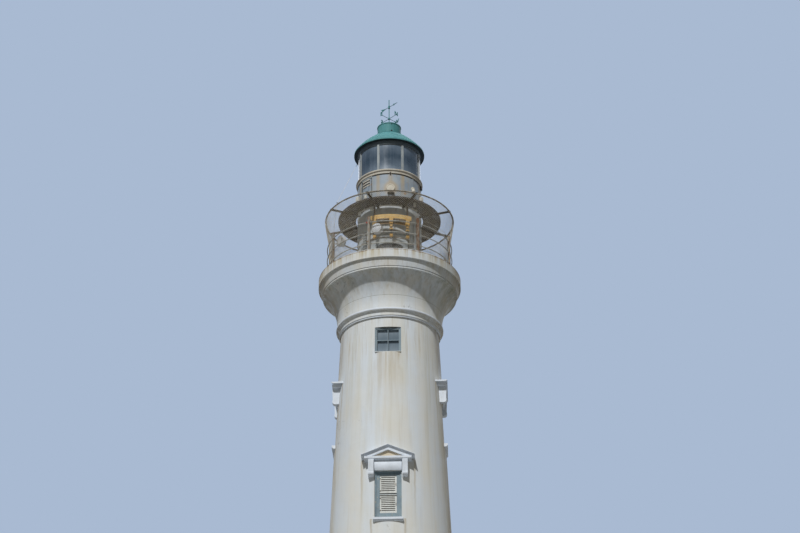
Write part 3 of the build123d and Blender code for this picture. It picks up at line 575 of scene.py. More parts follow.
worn_finishes = {
    "blue_grey_frames": ("72858f", "8699a2", "aeb0a6", 0.63, (26.0, 26.0, 7.0), 0.10, "6b5a47"),
    "door_boards": ("42566a", "54697c", "8d7a61", 0.64, (30.0, 30.0, 3.0), 0.10, "3d342a"),
    "old_boards": ("2c2f31", "3b3e3f", "57493a", 0.66, (30.0, 30.0, 3.0), 0.20, "1d1b18"),
    "white_bars": ("909a9f", "a4acae", "7a5536", 0.68, (20.0, 20.0, 6.0), 0.08, "a58a62"),
    "grey_green_rails": ("a5a7a1", "babbb5", "6f4a2f", 0.60, (22.0, 22.0, 9.0), 0.14, "80603f"),
    "red_paint": ("a83a2c", "b9503f", "6f4a2f", 0.66, (30.0, 30.0, 30.0), 0.10, "6f5233"),
    "head_paint": ("4c565b", "5d686b", "8b8a7c", 0.68, (9.0, 9.0, 20.0), 0.12, "35352f"),
    "ledge_paint": ("bcb8ac", "c9c6bc", "a67d4c", 0.62, (7.0, 7.0, 22.0), 0.22, "a58551", 0.60),
    "room_paint": ("b1bbc2", "c6ccce", "8b867b", 0.66, (6.0, 6.0, 3.0), 0.20, "7d6c50", 0.70),
    "yellow_rack": ("cfa04c", "dbb469", "6d4a2c", 0.66, (18.0, 18.0, 18.0), 0.15, "8f6328"),
    "rack_brown_shade": ("7c6236", "947442", "4f3a26", 0.60, (16.0, 16.0, 16.0), 0.25, "5d4228"),
    "cover_cream": ("cbc6b6", "d6d2c6", "a98552", 0.63, (9.0, 9.0, 9.0), 0.20, "ac8c5a", 0.60),
    "conduit_white": ("d6d6cf", "e2e2dc", "8c8069", 0.66, (12.0, 12.0, 12.0), 0.12, "8e8062", 0.50),
    "pale_plastic": ("dce1e8", "e6e9ee", "b3b5b3", 0.72, (12.0, 12.0, 12.0), 0.10, "9b9684", 0.42),
}
for name, settings in worn_finishes.items():
    finish(name, worn_paint(*settings))

# %% Louvred leaves
cream_settings = ("d3d6d2", "e0e2de", "8e8672", 0.66, (14.0, 14.0, 30.0), 0.12, "9a8c6c")


def leaf_paint(sheet):
    """Cream paint, with painted shade that darkens the underside of every slat."""
    sockets = worn_paint(*cream_settings)(sheet)
    # Painted shade: faces that look down, the undersides of the slats, go nearly black.
    painted_slat_shade = step(downward(sheet), 0.20, 0.60) * 0.90
    sockets["Base Color"] = blend(painted_slat_shade, sockets["Base Color"], "2f2e27")
    return sockets


finish("cream_leaves", leaf_paint)

# %% [markdown]
# ## Rusted steel
# The walkway, its arms and the cage lost their paint long ago. Rust isn't one brown: it is dark and
# tight where rain washes, orange and powdery where it dries, with a few scabs of old grey coat left.

# %% Rusted steel
def rusted_steel(tight, powder, coat, coat_left):
    """A recipe for rusty steel; coat_left is the noise level above which old paint survives."""

    def recipe(sheet):
        point = metres(sheet)
        clouds = lumps(point, 6.0, 0.35, 0.66, 6.0, 0.7)
        specks = lumps(point, 60.0, 0.46, 0.64, 4.0, 0.7)
        colour = blend(clouds, tight, powder)
        colour = blend(specks * 0.35, colour, "4a3324")
        scabs = lumps(shifted(point, 3.0, 1.0, 2.0), 5.0, coat_left, coat_left + 0.04, 6.0, 0.65)
        colour = blend(scabs * 0.85, colour, coat)
        return {
            "Base Color": colour,
            "Roughness": 0.70 + clouds * 0.2,
            "Relief": specks * 0.0006 + scabs * 0.0005,
        }

    return recipe


finish("walkway_rust", rusted_steel("37322c", "4a4339", "73746c", 0.66))
finish("ring_rust", rusted_steel("7a756b", "94897a", "b3afa2", 0.56))
finish("post_rust", rusted_steel("6b4a33", "8d6444", "b0a58e", 0.60))
finish("mesh_wire", rusted_steel("c4bba7", "d2c9b5", "d4d1c8", 0.50))
finish("bright_wire", rusted_steel("d3d5d8", "dfe1e3", "e8e9ea", 0.50))

# %% [markdown]
# ## One coat, changed by place
# Some solids carry more than one colour: the rack's yellow band over brown painted shade, with a
# painted shadow at the rack's foot and the dark joints of the units under it, or the three railing
# posts whose paint has gone. Each starts from the worn paint above and then blends in another colour
# where a mask of height or bearing says so.

# %% Rack and units
rack_settings = ("d2a650", "e0bd74", "6d4a2c", 0.64, (18.0, 18.0, 18.0), 0.18, "8f6328")
rack_foot_level, band_level, hanger_level = 23.992, 24.012, 24.186
unit_gap_levels = (23.840, 23.560, 23.300)
unit_head_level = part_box("signal_units")[1].z


def rack_paint(sheet):
    """Yellow band and units, brown painted shade and shadow under the band, dark joints and hangers."""
    sockets = worn_paint(*rack_settings)(sheet)
    point = metres(sheet)
    z = axis_parts(point)[2]
    colour = sockets["Base Color"]
    # Painted shade: under its band the rack is brown, and a painted shadow darkens it further at its
    # foot.
    brown = blend(lumps(point, 14.0, 0.42, 0.60, 5.0, 0.7), "6f573b", "97794f")
    band = step(z, band_level - 0.004, band_level + 0.004)
    on_rack = step(z, unit_head_level - 0.002, unit_head_level)
    colour = blend(on_rack * (1 - band), colour, brown)
    shadow = on_rack * (1 - band) * step(z, rack_foot_level, rack_foot_level + 0.006)
    colour = blend(shadow * 0.85, colour, soot_and_shade)
    colour = blend(step(z, hanger_level - 0.004, hanger_level), colour, "4a3b2d")
    for level in unit_gap_levels:
        colour = blend((1 - step(abs(z - level), 0.018, 0.024)) * 0.92, colour, "2b241b")
    sockets["Base Color"] = colour
    return sockets


finish("rack_paint", rack_paint)

# %% Railing posts
post_settings = ("85837a", "9a978b", "6f4a2f", 0.55, (22.0, 22.0, 6.0), 0.32, "86663f")
rusty_posts = {28.5: "6f4c2f", -106.5: "6d5440", 163.5: "7d5a3e"}


def post_paint(sheet):
    """Grey-green paint on the posts, and bare rust on the three whose bearings are listed."""
    sockets = worn_paint(*post_settings)(sheet)
    point = metres(sheet)
    x, y, _ = axis_parts(point)
    bearing = x.maths("ARCTAN2", x, 0 - y)
    for degrees, colour in rusty_posts.items():
        near = 1 - step(abs(bearing - math.radians(degrees)), 0.06, 0.08)
        patchy = 0.25 + lumps(point, 9.0, 0.42, 0.56, 5.0, 0.7) * 0.65
        sockets["Base Color"] = blend(near * patchy, sockets["Base Color"], colour)
    return sockets


finish("post_paint", post_paint)

# %% [markdown]
# ## Plates of the drum
# The drum under the lantern is riveted plate in a bluish white. Its rust has a cause: the foot of each
# mullion leaks, and eight ochre runs hang below the eight feet. The angle about the axis, folded by
# PINGPONG at an eighth of a turn, gives the distance to the nearest mullion all the way round.

# %% Drum plates
lantern_turn = 4.5
eighth = math.tau / 8
plate_blue = "8f9daa"
plate_pale = "a3acb2"
drum_foot, drum_top = (corner.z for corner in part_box("murette"))
drum_radius = 1.14
cover_across, cover_level = 0.0875, 25.496


def from_mullion(x, y):
    """Angle in radians to the nearest mullion's bearing."""
    angle = x.maths("ARCTAN2", x, 0 - y)
    return angle.maths("PINGPONG", angle - math.radians(lantern_turn) - eighth / 2, eighth / 2)


def drum_plate(sheet):
    """Bluish plate with ochre runs under the mullions' feet and around the vent's cover."""
    point = metres(sheet)
    x, y, z = axis_parts(point)
    away = from_mullion(x, y) * drum_radius
    clouds = lumps(point, 2.6, 0.35, 0.66, 5.0, 0.6)
    colour = blend(clouds, plate_blue, plate_pale)
    ragged = noise(spread(point, 7.0, 7.0, 1.5), 1.0, 5.0, 0.65)
    run = (1 - step(away + (ragged - 0.5) * 0.14, 0.030, 0.105)) * step(z, drum_foot - 0.2, drum_top)
    threads = lumps(point, (26.0, 26.0, 0.8), 0.52, 0.75, 4.0)
    colour = blend(threads * 0.28, colour, ochre)
    colour = blend(run * (0.52 + threads * 0.3), colour, "baa273")
    scabs = lumps(point, 5.5, 0.60, 0.66, 6.0, 0.7)
    colour = blend(scabs * 0.75, colour, "a37b4d")
    colour = blend(lumps(point, 9.0, 0.68, 0.71, 6.0, 0.7), colour, rust_brown)
    aside = x - cover_across
    rise = z - cover_level
    far = x.maths("SQRT", aside * aside + rise * rise)
    front = step(0 - y, 0.3, 0.5)
    halo = front * (1 - step(far + (ragged - 0.5) * 0.14, 0.17, 0.34))
    from_above = 1 - step(abs(aside) + (ragged - 0.5) * 0.10, 0.03, 0.13)
    halo = halo + front * from_above * step(rise, 0.0, 0.1) * 0.7
    colour = blend(halo.maths("MINIMUM", halo, 1.0) * 0.55, colour, "bda273")
    low = (1 - step(z, drum_foot, drum_foot + 0.35)) * step(ragged, 0.40, 0.62)
    colour = blend(low * 0.40, colour, "8c7a5a")
    return {
        "Base Color": colour,
        "Roughness": 0.52 + clouds * 0.15 + run * 0.15,
        "Relief": noise(point, 120.0, 2.0) * 0.0003 + scabs * 0.0006 + noise(point, 2.5, 2.0) * 0.004,
    }


finish("drum_plate", drum_plate)

# %% Copper under verdigris
copper_pale = "57969a"
copper_deep = "387b7c"


def verdigris(sheet):
    """Blue-green copper, clouded and streaked, with painted shade that makes the faces that look down
    nearly black.
    """
    point = metres(sheet)
    clouds = lumps(point, 2.2, 0.34, 0.68, 6.0, 0.65)
    colour = blend(clouds, copper_deep, copper_pale)
    streaks = lumps(point, (14.0, 14.0, 0.9), 0.48, 0.72, 5.0, 0.6)
    colour = blend(streaks * 0.35, colour, "74aaa8")
    dark = lumps(shifted(point, 4.0, 4.0, 0.0), (7.0, 7.0, 1.4), 0.56, 0.72, 5.0, 0.6)
    colour = blend(dark * 0.55, colour, "265f5e")
    bare = lumps(point, 11.0, 0.69, 0.73, 6.0, 0.7)
    colour = blend(bare * 0.7, colour, "4e4a35")
    # Painted shade: faces that look down, such as the roof's soffit, go nearly black.
    colour = blend(step(downward(sheet), 0.3, 0.8) * 0.97, colour, "0b1410")
    return {
        "Base Color": colour,
        "Roughness": 0.62 + clouds * 0.18,
        "Relief": noise(point, 90.0, 3.0) * 0.0005 + noise(point, 3.5, 2.0) * 0.003,
    }


finish("verdigris_copper", verdigris)

# %% [markdown]
# ## Glass
# The lantern's panes are old and salt-hazed: half mirror, half milk, streaked by rain and palest along
# the foot. Full refraction would show an empty lantern with studio light in it, and it slows a render.
# A dark, glossy, partly see-through sheet with a haze mask does what the eye sees from the ground.

# %% Glass finishes
def hazed_glass(deep, haze, corners, see_through):
    """A recipe for dirty glass in a box, haziest at its foot and clearest at the flanks."""
    foot, top = (corner.z for corner in corners)
    tall = top - foot

    def recipe(sheet):
        point = metres(sheet)
        x, _, z = axis_parts(point)
        rain = lumps(point, (9.0, 9.0, 0.35), 0.40, 0.74, 5.0, 0.6)
        clouds = lumps(point, 2.2, 0.32, 0.72, 4.0)
        low = 1 - step(z, foot - tall * 0.2, foot + tall * 0.62)
        high = step(z, top - tall * 0.55, top + tall * 0.1)
        flank = step(abs(x), 0.45, 1.05)
        milk = rain * 0.13 + clouds * 0.16 + low * 0.52 + high * 0.34
        milk = milk * (1 - flank * 0.62)
        milk = milk.maths("MINIMUM", milk, 1.0)
        return {
            "Base Color": blend(milk, deep, haze),
            "Roughness": 0.10 + milk * 0.40,
            "Alpha": see_through + milk * (1 - see_through),
        }

    return recipe


finish("lantern_glass", hazed_glass("22384a", "96a6b6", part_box("lantern_glass"), 0.86))
finish("window_glass", hazed_glass("5f6e78", "8f9da7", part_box("top_window_glass"), 1.0))

# %% Dark gaps and painted shadows
def gap_and_shadow_paint(sheet):
    """Nearly black, for open joints and slots that are modelled as shallow relief, and painted shadows.
    """
    return {"Base Color": blend(noise(metres(sheet), 40.0), "14130f", "2a2620")}


finish("dark_gap_and_shadow", gap_and_shadow_paint, Roughness=0.9)

# %% [markdown]
# ## Dressing the solids
# Each solid keeps its own mesh and only changes its material. A table of nodes and finishes is the
# whole step, and the loop stops on a name that the frame doesn't have.

# %% Give every solid its finish
node_finish = {
    "lime_paint": (
        "base_wall_lower base_wall_upper base_cornice base_cap shaft_storey_1 shaft_storey_2 "
        "shaft_storey_3 shaft_storey_4 shaft_top_storey string_course gallery_neck gallery_cornice "
        "gallery_deck"
    ),
    "dressing_paint": "window_hoods window_sills entrance_hood",
    "dressed_stone": "plinth entrance_steps",
    "blue_grey_frames": "entrance_frame window_frames top_window_frames",
    "door_boards": "entrance_door",
    "cream_leaves": "window_shutters",
    "window_glass": "top_window_glass",
    "drum_plate": "murette murette_hatch",
    "ledge_paint": "lantern_ledge",
    "white_bars": "lantern_mullions",
    "head_paint": "lantern_head",
    "room_paint": "service_room_wall lantern_floor",
    "grey_green_rails": "gallery_rails",
    "post_paint": "railing_posts",
    "lantern_glass": "lantern_glass",
    "verdigris_copper": "roof roof_vent compass_mast wind_vane",
    "walkway_rust": "upper_walkway walkway_brackets",
    "ring_rust": "cage_ring",
    "rack_paint": "equipment_rack signal_units",
    "pale_plastic": "drum_aerials",
    "bright_wire": "lightning_wire",
}
dressed = 0
for finish_name, node_names in node_finish.items():
    for node_name in node_names.split():
        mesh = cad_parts[node_name].data
        mesh.materials.clear()
        mesh.materials.append(finishes[finish_name])
        dressed += 1
print("solids dressed:", dressed, "of", len(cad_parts))

# %% [markdown]
# ## Building small fittings
# The fittings are too small or too many for the solids: rivets, hinges, clips, wire. Each group is one
# joined mesh, filled by a short function. Four helpers make nearly all of them: a place that faces
# outwards on the tower, a chamfered block, a turned form, and a round bar along points. Chamfers matter
# even on small blocks, because a sharp edge catches no light.

# %% Places on the tower
def facing(bearing, radius, height):
    """A place on the tower that looks outwards: x to the right, y up, z away from the axis."""
    outward = about_axis(bearing, 1.0, 0.0)
    right = about_axis(bearing + 90.0, 1.0, 0.0)
    place = Matrix((right, Vector((0.0, 0.0, 1.0)), outward)).transposed().to_4x4()
    place.translation = outward * radius + Vector((0.0, 0.0, height))
    return place


def moved(place, right, up, out):
    """A place moved along its own three axes."""
    return place @ Matrix.Translation((right, up, out))


def spun(place, degrees, axis):
    """A place turned about one of its own axes."""
    return place @ Matrix.Rotation(math.radians(degrees), 4, axis)


def circle(count, radius):
    """The x and y of points around a circle."""
    turns = [math.tau * k / count for k in range(count)]
    return [(radius * math.cos(t), radius * math.sin(t)) for t in turns]


def hoop(radius, height, start=0.0, stop=360.0, parts=96):
    """Points along a level arc about the axis, between two bearings."""
    return [
        about_axis(start + (stop - start) * index / parts, radius, height)
        for index in range(parts if stop - start == 360.0 else parts + 1)
    ]


# %% Blocks, turned forms and bars
def block(shape, place, size, chamfer=0.003):
    """A chamfered block centred on a place; size is its width, height and depth there."""
    made = bmesh.ops.create_cube(shape, size=1.0, matrix=place @ Matrix.Diagonal((*size, 1.0)))
    edges = list({edge for vertex in made["verts"] for edge in vertex.link_edges})
    bmesh.ops.bevel(shape, geom=edges, offset=chamfer, segments=1, affect="EDGES", clamp_overlap=True)


def curved_block(shape, bearing, radius, height, size, parts=6):
    """A block bent about the axis: short pieces side by side, each facing outwards."""
    part_turn = math.degrees(size[0] / radius) / parts
    for part in range(parts):
        place = facing(bearing + (part - (parts - 1) / 2) * part_turn, radius, height)
        block(shape, place, (size[0] / parts * 1.02, size[1], size[2]), 0.001)


def strip_of_faces(shape, rings, closed=False):
    """Join rings of vertices, one after another, with faces that look outwards."""
    following = rings[1:] + rings[:1] if closed else rings[1:]
    for low, high in zip(rings, following):
        sides = max(len(low), len(high))
        for side in range(sides):
            after = (side + 1) % sides
            corners = (
                low[side % len(low)],
                low[after % len(low)],
                high[after % len(high)],
                high[side % len(high)],
            )
            shape.faces.new(list(dict.fromkeys(corners)))


def turned(shape, place, profile, sides=16):
    """A form turned about a place's z from (radius, height) pairs; a radius of 0 closes it."""
    rings = []
    for radius, height in profile:
        corners = circle(sides if radius > 0 else 1, radius)
        rings.append([shape.verts.new(place @ Vector((x, y, height))) for x, y in corners])
    strip_of_faces(shape, rings)


def bar(shape, points, radius, sides=6, closed=False):
    """A round bar through a list of points, mitred at its bends."""
    last = len(points) - 1
    rings = []
    side = None
    for index, point in enumerate(points):
        before = points[index - 1] if closed or index > 0 else point
        after = points[(index + 1) % len(points)] if closed or index < last else point
        along = (after - before).normalized()
        side = along.orthogonal() if side is None else side - along * side.dot(along)
        side.normalize()
        up = along.cross(side)
        rings.append([shape.verts.new(point + side * x + up * y) for x, y in circle(sides, radius)])
    strip_of_faces(shape, rings, closed)
    if not closed:
        shape.faces.new(list(reversed(rings[0])))
        shape.faces.new(rings[-1])


def pin(shape, place, half, radius, sides=8):
    """A round bar up and down through a place, such as a hinge's knuckle."""
    bar(shape, [place @ Vector((0.0, end, 0.0)) for end in (-half, half)], radius, sides)


def sleeve(shape, place, profile, sides=12):
    """A turned form that lies along a place's x, centred on it."""
    lying = spun(place, 90.0, "Y")
    turned(shape, moved(lying, 0.0, 0.0, -profile[-1][1] / 2), profile, sides)


def band(shape, radius, height, section, sides=96):
    """A ring about the tower's axis; its section is (out, up) pairs from a radius and a height."""
    profile = [(radius + out, height + up) for out, up in section]
    turned(shape, Matrix.Identity(4), profile, sides)


# %% One piece of the model
def piece(name, fill, finish_name, body="tower"):
    """One new mesh piece: fill(shape) builds it, and it rides on a body of the frame."""
    shape = bmesh.new()
    fill(shape)
    bmesh.ops.recalc_face_normals(shape, faces=shape.faces)
    mesh = bpy.data.meshes.new(name)
    shape.to_mesh(mesh)
    shape.free()
    mesh.shade_smooth()
    mesh.set_sharp_from_angle(angle=math.radians(32.0))
    mesh.materials.append(finishes[finish_name])
    made = bpy.data.objects.new(name, mesh)
    bpy.context.scene.collection.objects.link(made)
    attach(made, body)
    print(f"{name}: {len(mesh.polygons)} faces")


# %% Rivets and bolts
def rivet(shape, place, radius=0.009):
    """A domed rivet head that stands on a place."""
    turned(shape, place, ((radius, 0.0), (radius * 0.8, radius * 0.5), (0.0, radius * 0.72)), 8)


def hex_bolt(shape, place, across=0.024, height=0.012):
    """A washer and a hexagonal head."""
    radius, top = across / 2, height + 0.002
    turned(shape, place, ((radius * 1.5, 0.0), (radius * 1.5, 0.002), (0.0, 0.002)), 12)
    turned(shape, place, ((radius, 0.002), (radius, height), (radius * 0.8, top), (0.0, top)), 6)


# %% [markdown]
# ## The cage's chain-link
# From the cage ring down to the deck hangs a chain-link fabric. On the real one each wire zigzags down
# its own narrow strip and hooks its neighbours at every bend, and the diamonds are about 70 mm across.
# Curves with a bevel would make hundreds of objects, and an alpha pattern would vanish in a mesh
# export. The wires are therefore worked out as one array: every bend is a small ring of three points,
# and wires at odd places bend the other way, so that they meet.

# %% Cage fabric
ring_level = sum(corner.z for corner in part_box("cage_ring")) / 2
ring_radius, ring_tube = 2.28, 0.024
fabric_head_radius = ring_radius + ring_tube + 0.006
fabric_foot_radius = 2.152
fabric_bend = gallery_top + 1.46
fabric_foot = gallery_top + 0.022
diamond = 0.072
wire_radius = 0.0033
wire_count = 2 * round(math.pi * (fabric_head_radius + fabric_foot_radius) / diamond)
bend_count = 2 * round((ring_level - fabric_foot) / diamond) + 1


def fabric_radius(height):
    """The fabric leans in from the ring to the posts' heads, and hangs straight inside the posts."""
    up = np.clip((height - fabric_bend) / (ring_level - fabric_bend), 0.0, 1.0)
    return fabric_foot_radius + (fabric_head_radius - fabric_foot_radius) * up


def chain_link():
    """Vertices and faces of the fabric: wires across, then bends down, then three sides."""
    wires, bends, sides = np.meshgrid(
        np.arange(wire_count), np.arange(bend_count), np.arange(3), indexing="ij"
    )
    swing = (wires + bends) % 2
    down = bends / (bend_count - 1)
    height = ring_level + (fabric_foot - ring_level) * down
    radius = fabric_radius(height)
    turn = (wires + swing) * math.tau / wire_count
    around = sides * math.tau / 3
    radius = radius + wire_radius * (2 * swing - 1) + wire_radius * np.cos(around)
    turn = turn + wire_radius * math.sqrt(2) * np.sin(around) / radius
    points = np.stack((radius * np.sin(turn), -radius * np.cos(turn), height), axis=-1)
    numbers = np.arange(points[..., 0].size).reshape(wire_count, bend_count, 3)
    after = np.roll(numbers, -1, axis=2)
    faces = np.stack((numbers[:, :-1], after[:, :-1], after[:, 1:], numbers[:, 1:]), axis=-1)
    return points.reshape(-1, 3), faces.reshape(-1, 4)


fabric_points, fabric_faces = chain_link()
fabric_mesh = bpy.data.meshes.new("cage_fabric")
fabric_mesh.from_pydata(fabric_points.tolist(), [], fabric_faces.tolist())
fabric_mesh.shade_smooth()
fabric_mesh.materials.append(finishes["mesh_wire"])
fabric = bpy.data.objects.new("cage_fabric", fabric_mesh)
bpy.context.scene.collection.objects.link(fabric)
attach(fabric, "tower")
print(f"cage_fabric: {wire_count} wires, {2 * len(fabric_faces)} triangles")

# %% Line wires and ties of the cage
tie_count = 72
line_wire_levels = (fabric_foot + 0.012, fabric_bend)


def cage_wires(shape):
    for level in line_wire_levels:
        bar(shape, hoop(fabric_radius(level) + 0.007, level, parts=120), 0.0035, 5, closed=True)
    for tie in range(tie_count):
        place = facing(tie * 360.0 / tie_count, ring_radius, ring_level)
        loop = [place @ Vector((0.0, y, x)) for x, y in circle(10, ring_tube + 0.006)]
        bar(shape, loop, 0.003, 4, closed=True)
        clip = facing((tie + 0.5) * 360.0 / tie_count, ring_radius + ring_tube + 0.003, ring_level)
        block(shape, clip, (0.030, 0.012, 0.006), 0.002)


piece("cage_ties", cage_wires, "mesh_wire")

# %% Sleeves on the cage ring
splice_bearings = (-66.0, -21.5, 24.0, 69.5, 114.0, 159.5, 204.5, 249.0)


def ring_splices(shape):
    inner, outer = ring_tube + 0.002, ring_tube + 0.006
    for bearing in splice_bearings:
        for side in (-1.1, 1.1):
            place = facing(bearing + side, ring_radius, ring_level)
            sleeve(shape, place, ((inner, 0.0), (outer, 0.002), (outer, 0.042), (inner, 0.044)))


piece("ring_splices", ring_splices, "ring_rust")

# %% [markdown]
# ## The railing's fittings
# A railing of this kind is put together from short rails: each meets its post in a clamp, and each post
# stands on a plate held by four bolts. One clamp in the photo still has its red paint.

# %% Rail clamps and post bolts
gallery_turn = 6.0
post_radius, post_half = 2.21, 0.04
post_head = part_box("railing_posts")[1].z
post_bearings = [(post + 0.5) * 45.0 + gallery_turn for post in range(8)]
rail_levels = [gallery_top + rise for rise in (0.370, 0.790, 1.230)]


def rail_clamps(shape):
    beside = math.degrees((post_half + 0.018) / post_radius)
    for bearing in post_bearings:
        for level in rail_levels:
            for side in (-beside, beside):
                place = facing(bearing + side, post_radius, level)
                sleeve(shape, place, ((0.0, 0.0), (0.021, 0.0), (0.021, 0.034), (0.0, 0.034)))
                hex_bolt(shape, moved(place, 0.0, 0.0, 0.020), 0.014, 0.007)


def post_fixings(shape):
    for bearing in post_bearings:
        foot = facing(bearing, post_radius, gallery_top + 0.012)
        for across in (-0.062, 0.062):
            for depth in (-0.062, 0.062):
                hex_bolt(shape, spun(moved(foot, across, 0.0, depth), -90.0, "X"))
        cap = spun(facing(bearing, post_radius, post_head - 0.012), -90.0, "X")
        block(shape, cap, (0.088, 0.088, 0.018))


piece("rail_clamps", rail_clamps, "grey_green_rails")
piece("post_fixings", post_fixings, "post_rust")

# %% The clamp that is still red
red_clamp_bearing = -18.6


def red_clamp(shape):
    place = facing(red_clamp_bearing, post_radius, rail_levels[2])
    half_profile = ((0.0, 0.0), (0.024, 0.0), (0.027, 0.006))
    other_half = ((0.027, 0.054), (0.024, 0.060), (0.0, 0.060))
    sleeve(shape, place, half_profile + other_half, 14)
    block(shape, moved(place, 0.0, 0.036, 0.0), (0.034, 0.022, 0.020))
    hex_bolt(shape, moved(place, 0.0, 0.036, 0.010), 0.014, 0.007)


piece("red_clamp", red_clamp, "red_paint")

# %% [markdown]
# ## Between the mullions
# Each curved pane is bedded in putty: a bead down both sides of every mullion, and one along the foot
# and the head. They are what breaks the glass into separate panes at a distance.

# %% Putty beads of the lantern
mullion_bearings = [(mullion + 0.5) * 45.0 + lantern_turn for mullion in range(8)]
glass_radius = 1.122
glass_foot, glass_top = (corner.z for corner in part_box("lantern_glass"))
mullion_half, bead_radius = 0.037, 0.007


def putty_beads(shape):
    beside = math.degrees((mullion_half + bead_radius) / glass_radius)
    for bearing in mullion_bearings:
        for side in (-beside, beside):
            ends = [about_axis(bearing + side, glass_radius, z) for z in (glass_foot, glass_top)]
            bar(shape, ends, bead_radius)
    for level in (glass_foot + bead_radius, glass_top - bead_radius):
        for bearing in mullion_bearings:
            first, last = bearing + beside, bearing + 45.0 - beside
            bar(shape, hoop(glass_radius, level, first, last, 12), bead_radius)


piece("putty_beads", putty_beads, "white_bars")

# %% [markdown]
# ## Roof and vent
# The copper is laid in sheets, lapped down the slope and turned over a wire at the eave. The laps
# follow the roof's own curve: a ray dropped on the solid at each step gives the height.

# %% Copper laps, eave roll and vent flange
roof_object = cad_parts["roof"]
roof_foot, roof_head = (corner.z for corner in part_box("roof"))
roof_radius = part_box("roof")[1].x
vent_radius, cowl_radius = 0.428, 0.440
vent_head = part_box("roof_vent")[1].z
vent_hole_bearing = 14.1
lap_count, lap_parts = 12, 10


def roof_height(bearing, radius):
    """Height of the roof's outside at a place, found with a ray from above."""
    start = roof_object.matrix_world.inverted() @ about_axis(bearing, radius, vent_head)
    hit, spot, _, _ = roof_object.ray_cast(start, Vector((0.0, 0.0, -1.0)))
    return (roof_object.matrix_world @ spot).z if hit else roof_foot


def copper_laps(shape):
    slope = roof_radius - 0.02 - vent_radius
    radii = [vent_radius + slope * part / lap_parts for part in range(lap_parts + 1)]
    for lap in range(lap_count):
        bearing = (lap + 0.35) * 360.0 / lap_count
        bar(shape, [about_axis(bearing, r, roof_height(bearing, r)) for r in radii], 0.005)
    bar(shape, hoop(roof_radius - 0.006, roof_foot + 0.008), 0.0058, closed=True)
    bar(shape, hoop(vent_radius + 0.003, roof_head + 0.006), 0.010, closed=True)
    for bearing in range(0, 360, 15):
        rivet(shape, facing(bearing, vent_radius, roof_head + 0.045), 0.007)
        rivet(shape, facing(bearing + 7.5, cowl_radius, vent_head - 0.018), 0.006)


piece("copper_laps", copper_laps, "verdigris_copper")


def vent_holes(shape):
    drain = facing(vent_hole_bearing, vent_radius, roof_head + 0.050)
    turned(shape, drain, ((0.0, 0.006), (0.020, 0.006), (0.026, 0.012), (0.030, 0.0)), 14)
    slot = facing(vent_hole_bearing, cowl_radius, vent_head - 0.050)
    block(shape, slot, (0.016, 0.070, 0.006), 0.002)


piece("vent_holes", vent_holes, "dark_gap_and_shadow")

# %% [markdown]
# ## Letters of the compass
# Each arm of the mast carries a cut-out letter. The photo shows two of them side on: the slanted stroke
# of an N on the right and an E on the left, which fixes the other two. They are set from Blender's own
# font, so no outline is traced.

# %% Compass letters
compass_level = vent_head + 0.430
compass_reach = 0.385
letter_height = 0.155
compass_letters = {"N": 45.0, "W": 135.0, "S": 225.0, "E": 315.0}


def letter_outline(letter):
    """The mesh of one letter, centred, lying in its own x and y."""
    curve = bpy.data.curves.new("letter", "FONT")
    curve.body = letter
    curve.size = letter_height / 0.7
    curve.extrude = 0.004
    curve.offset = 0.006
    curve.bevel_depth = 0.0015
    curve.align_x = "CENTER"
    curve.align_y = "CENTER"
    curve.resolution_u = 4
    holder = bpy.data.objects.new("letter", curve)
    mesh = bpy.data.meshes.new_from_object(holder)
    bpy.data.objects.remove(holder)
    bpy.data.curves.remove(curve)
    return mesh


def letters(shape):
    for letter, bearing in compass_letters.items():
        mesh = letter_outline(letter)
        mesh.transform(facing(bearing, compass_reach, compass_level + 0.035))
        shape.from_mesh(mesh)
        bpy.data.meshes.remove(mesh)
        socket = facing(bearing, compass_reach - 0.012, compass_level)
        block(shape, socket, (0.030, 0.030, 0.020), 0.004)


piece("compass_letters", letters, "verdigris_copper")

# %% [markdown]
# ## Fittings of the drum
# The drum's plates meet under straps with a double row of rivets, midway between the mullions. On the
# front are a round vent cover with a bracket under it, and a tall hatch with two slots, which is what
# the keeper climbs out by.

# %% Straps and rivets of the drum
drum_tall, drum_middle = drum_top - drum_foot, (drum_top + drum_foot) / 2
strap_bearings = [bearing + 22.5 for bearing in mullion_bearings]
strap_rows, strap_margin = 17, 0.06
ledge_rivet_radius = 1.168


def ledge_shadow_line(shape):
    """A painted shadow: a dark band round the drum's top, under the ledge that overhangs it."""
    section = ((-0.002, -0.026), (0.004, -0.026), (0.004, 0.0), (-0.002, 0.0))
    band(shape, drum_radius, drum_top, section, 128)


def drum_straps(shape):
    row_gap = (drum_tall - 2 * strap_margin) / (strap_rows - 1)
    for bearing in strap_bearings:
        strap = facing(bearing, drum_radius + 0.001, drum_middle)
        block(shape, strap, (0.085, drum_tall, 0.010), 0.002)
        for row in range(strap_rows):
            place = facing(bearing, drum_radius + 0.006, drum_foot + strap_margin + row * row_gap)
            for across in (-0.026, 0.026):
                rivet(shape, moved(place, across, 0.0, 0.0), 0.008)
    for bearing in range(0, 360, 6):
        rivet(shape, facing(bearing, ledge_rivet_radius, drum_top + 0.055), 0.007)


piece("drum_straps", drum_straps, "drum_plate")
piece("ledge_shadow_line", ledge_shadow_line, "dark_gap_and_shadow")

# %% Hatch frame, slots, hinges and handle
hatch_bearing = -43.5
hatch_half = math.degrees(math.asin(0.2575 / drum_radius))
hatch_head = drum_foot + 1.29
hatch_tall, hatch_middle = hatch_head - drum_foot, (hatch_head + drum_foot) / 2
hatch_face = drum_radius + 0.004


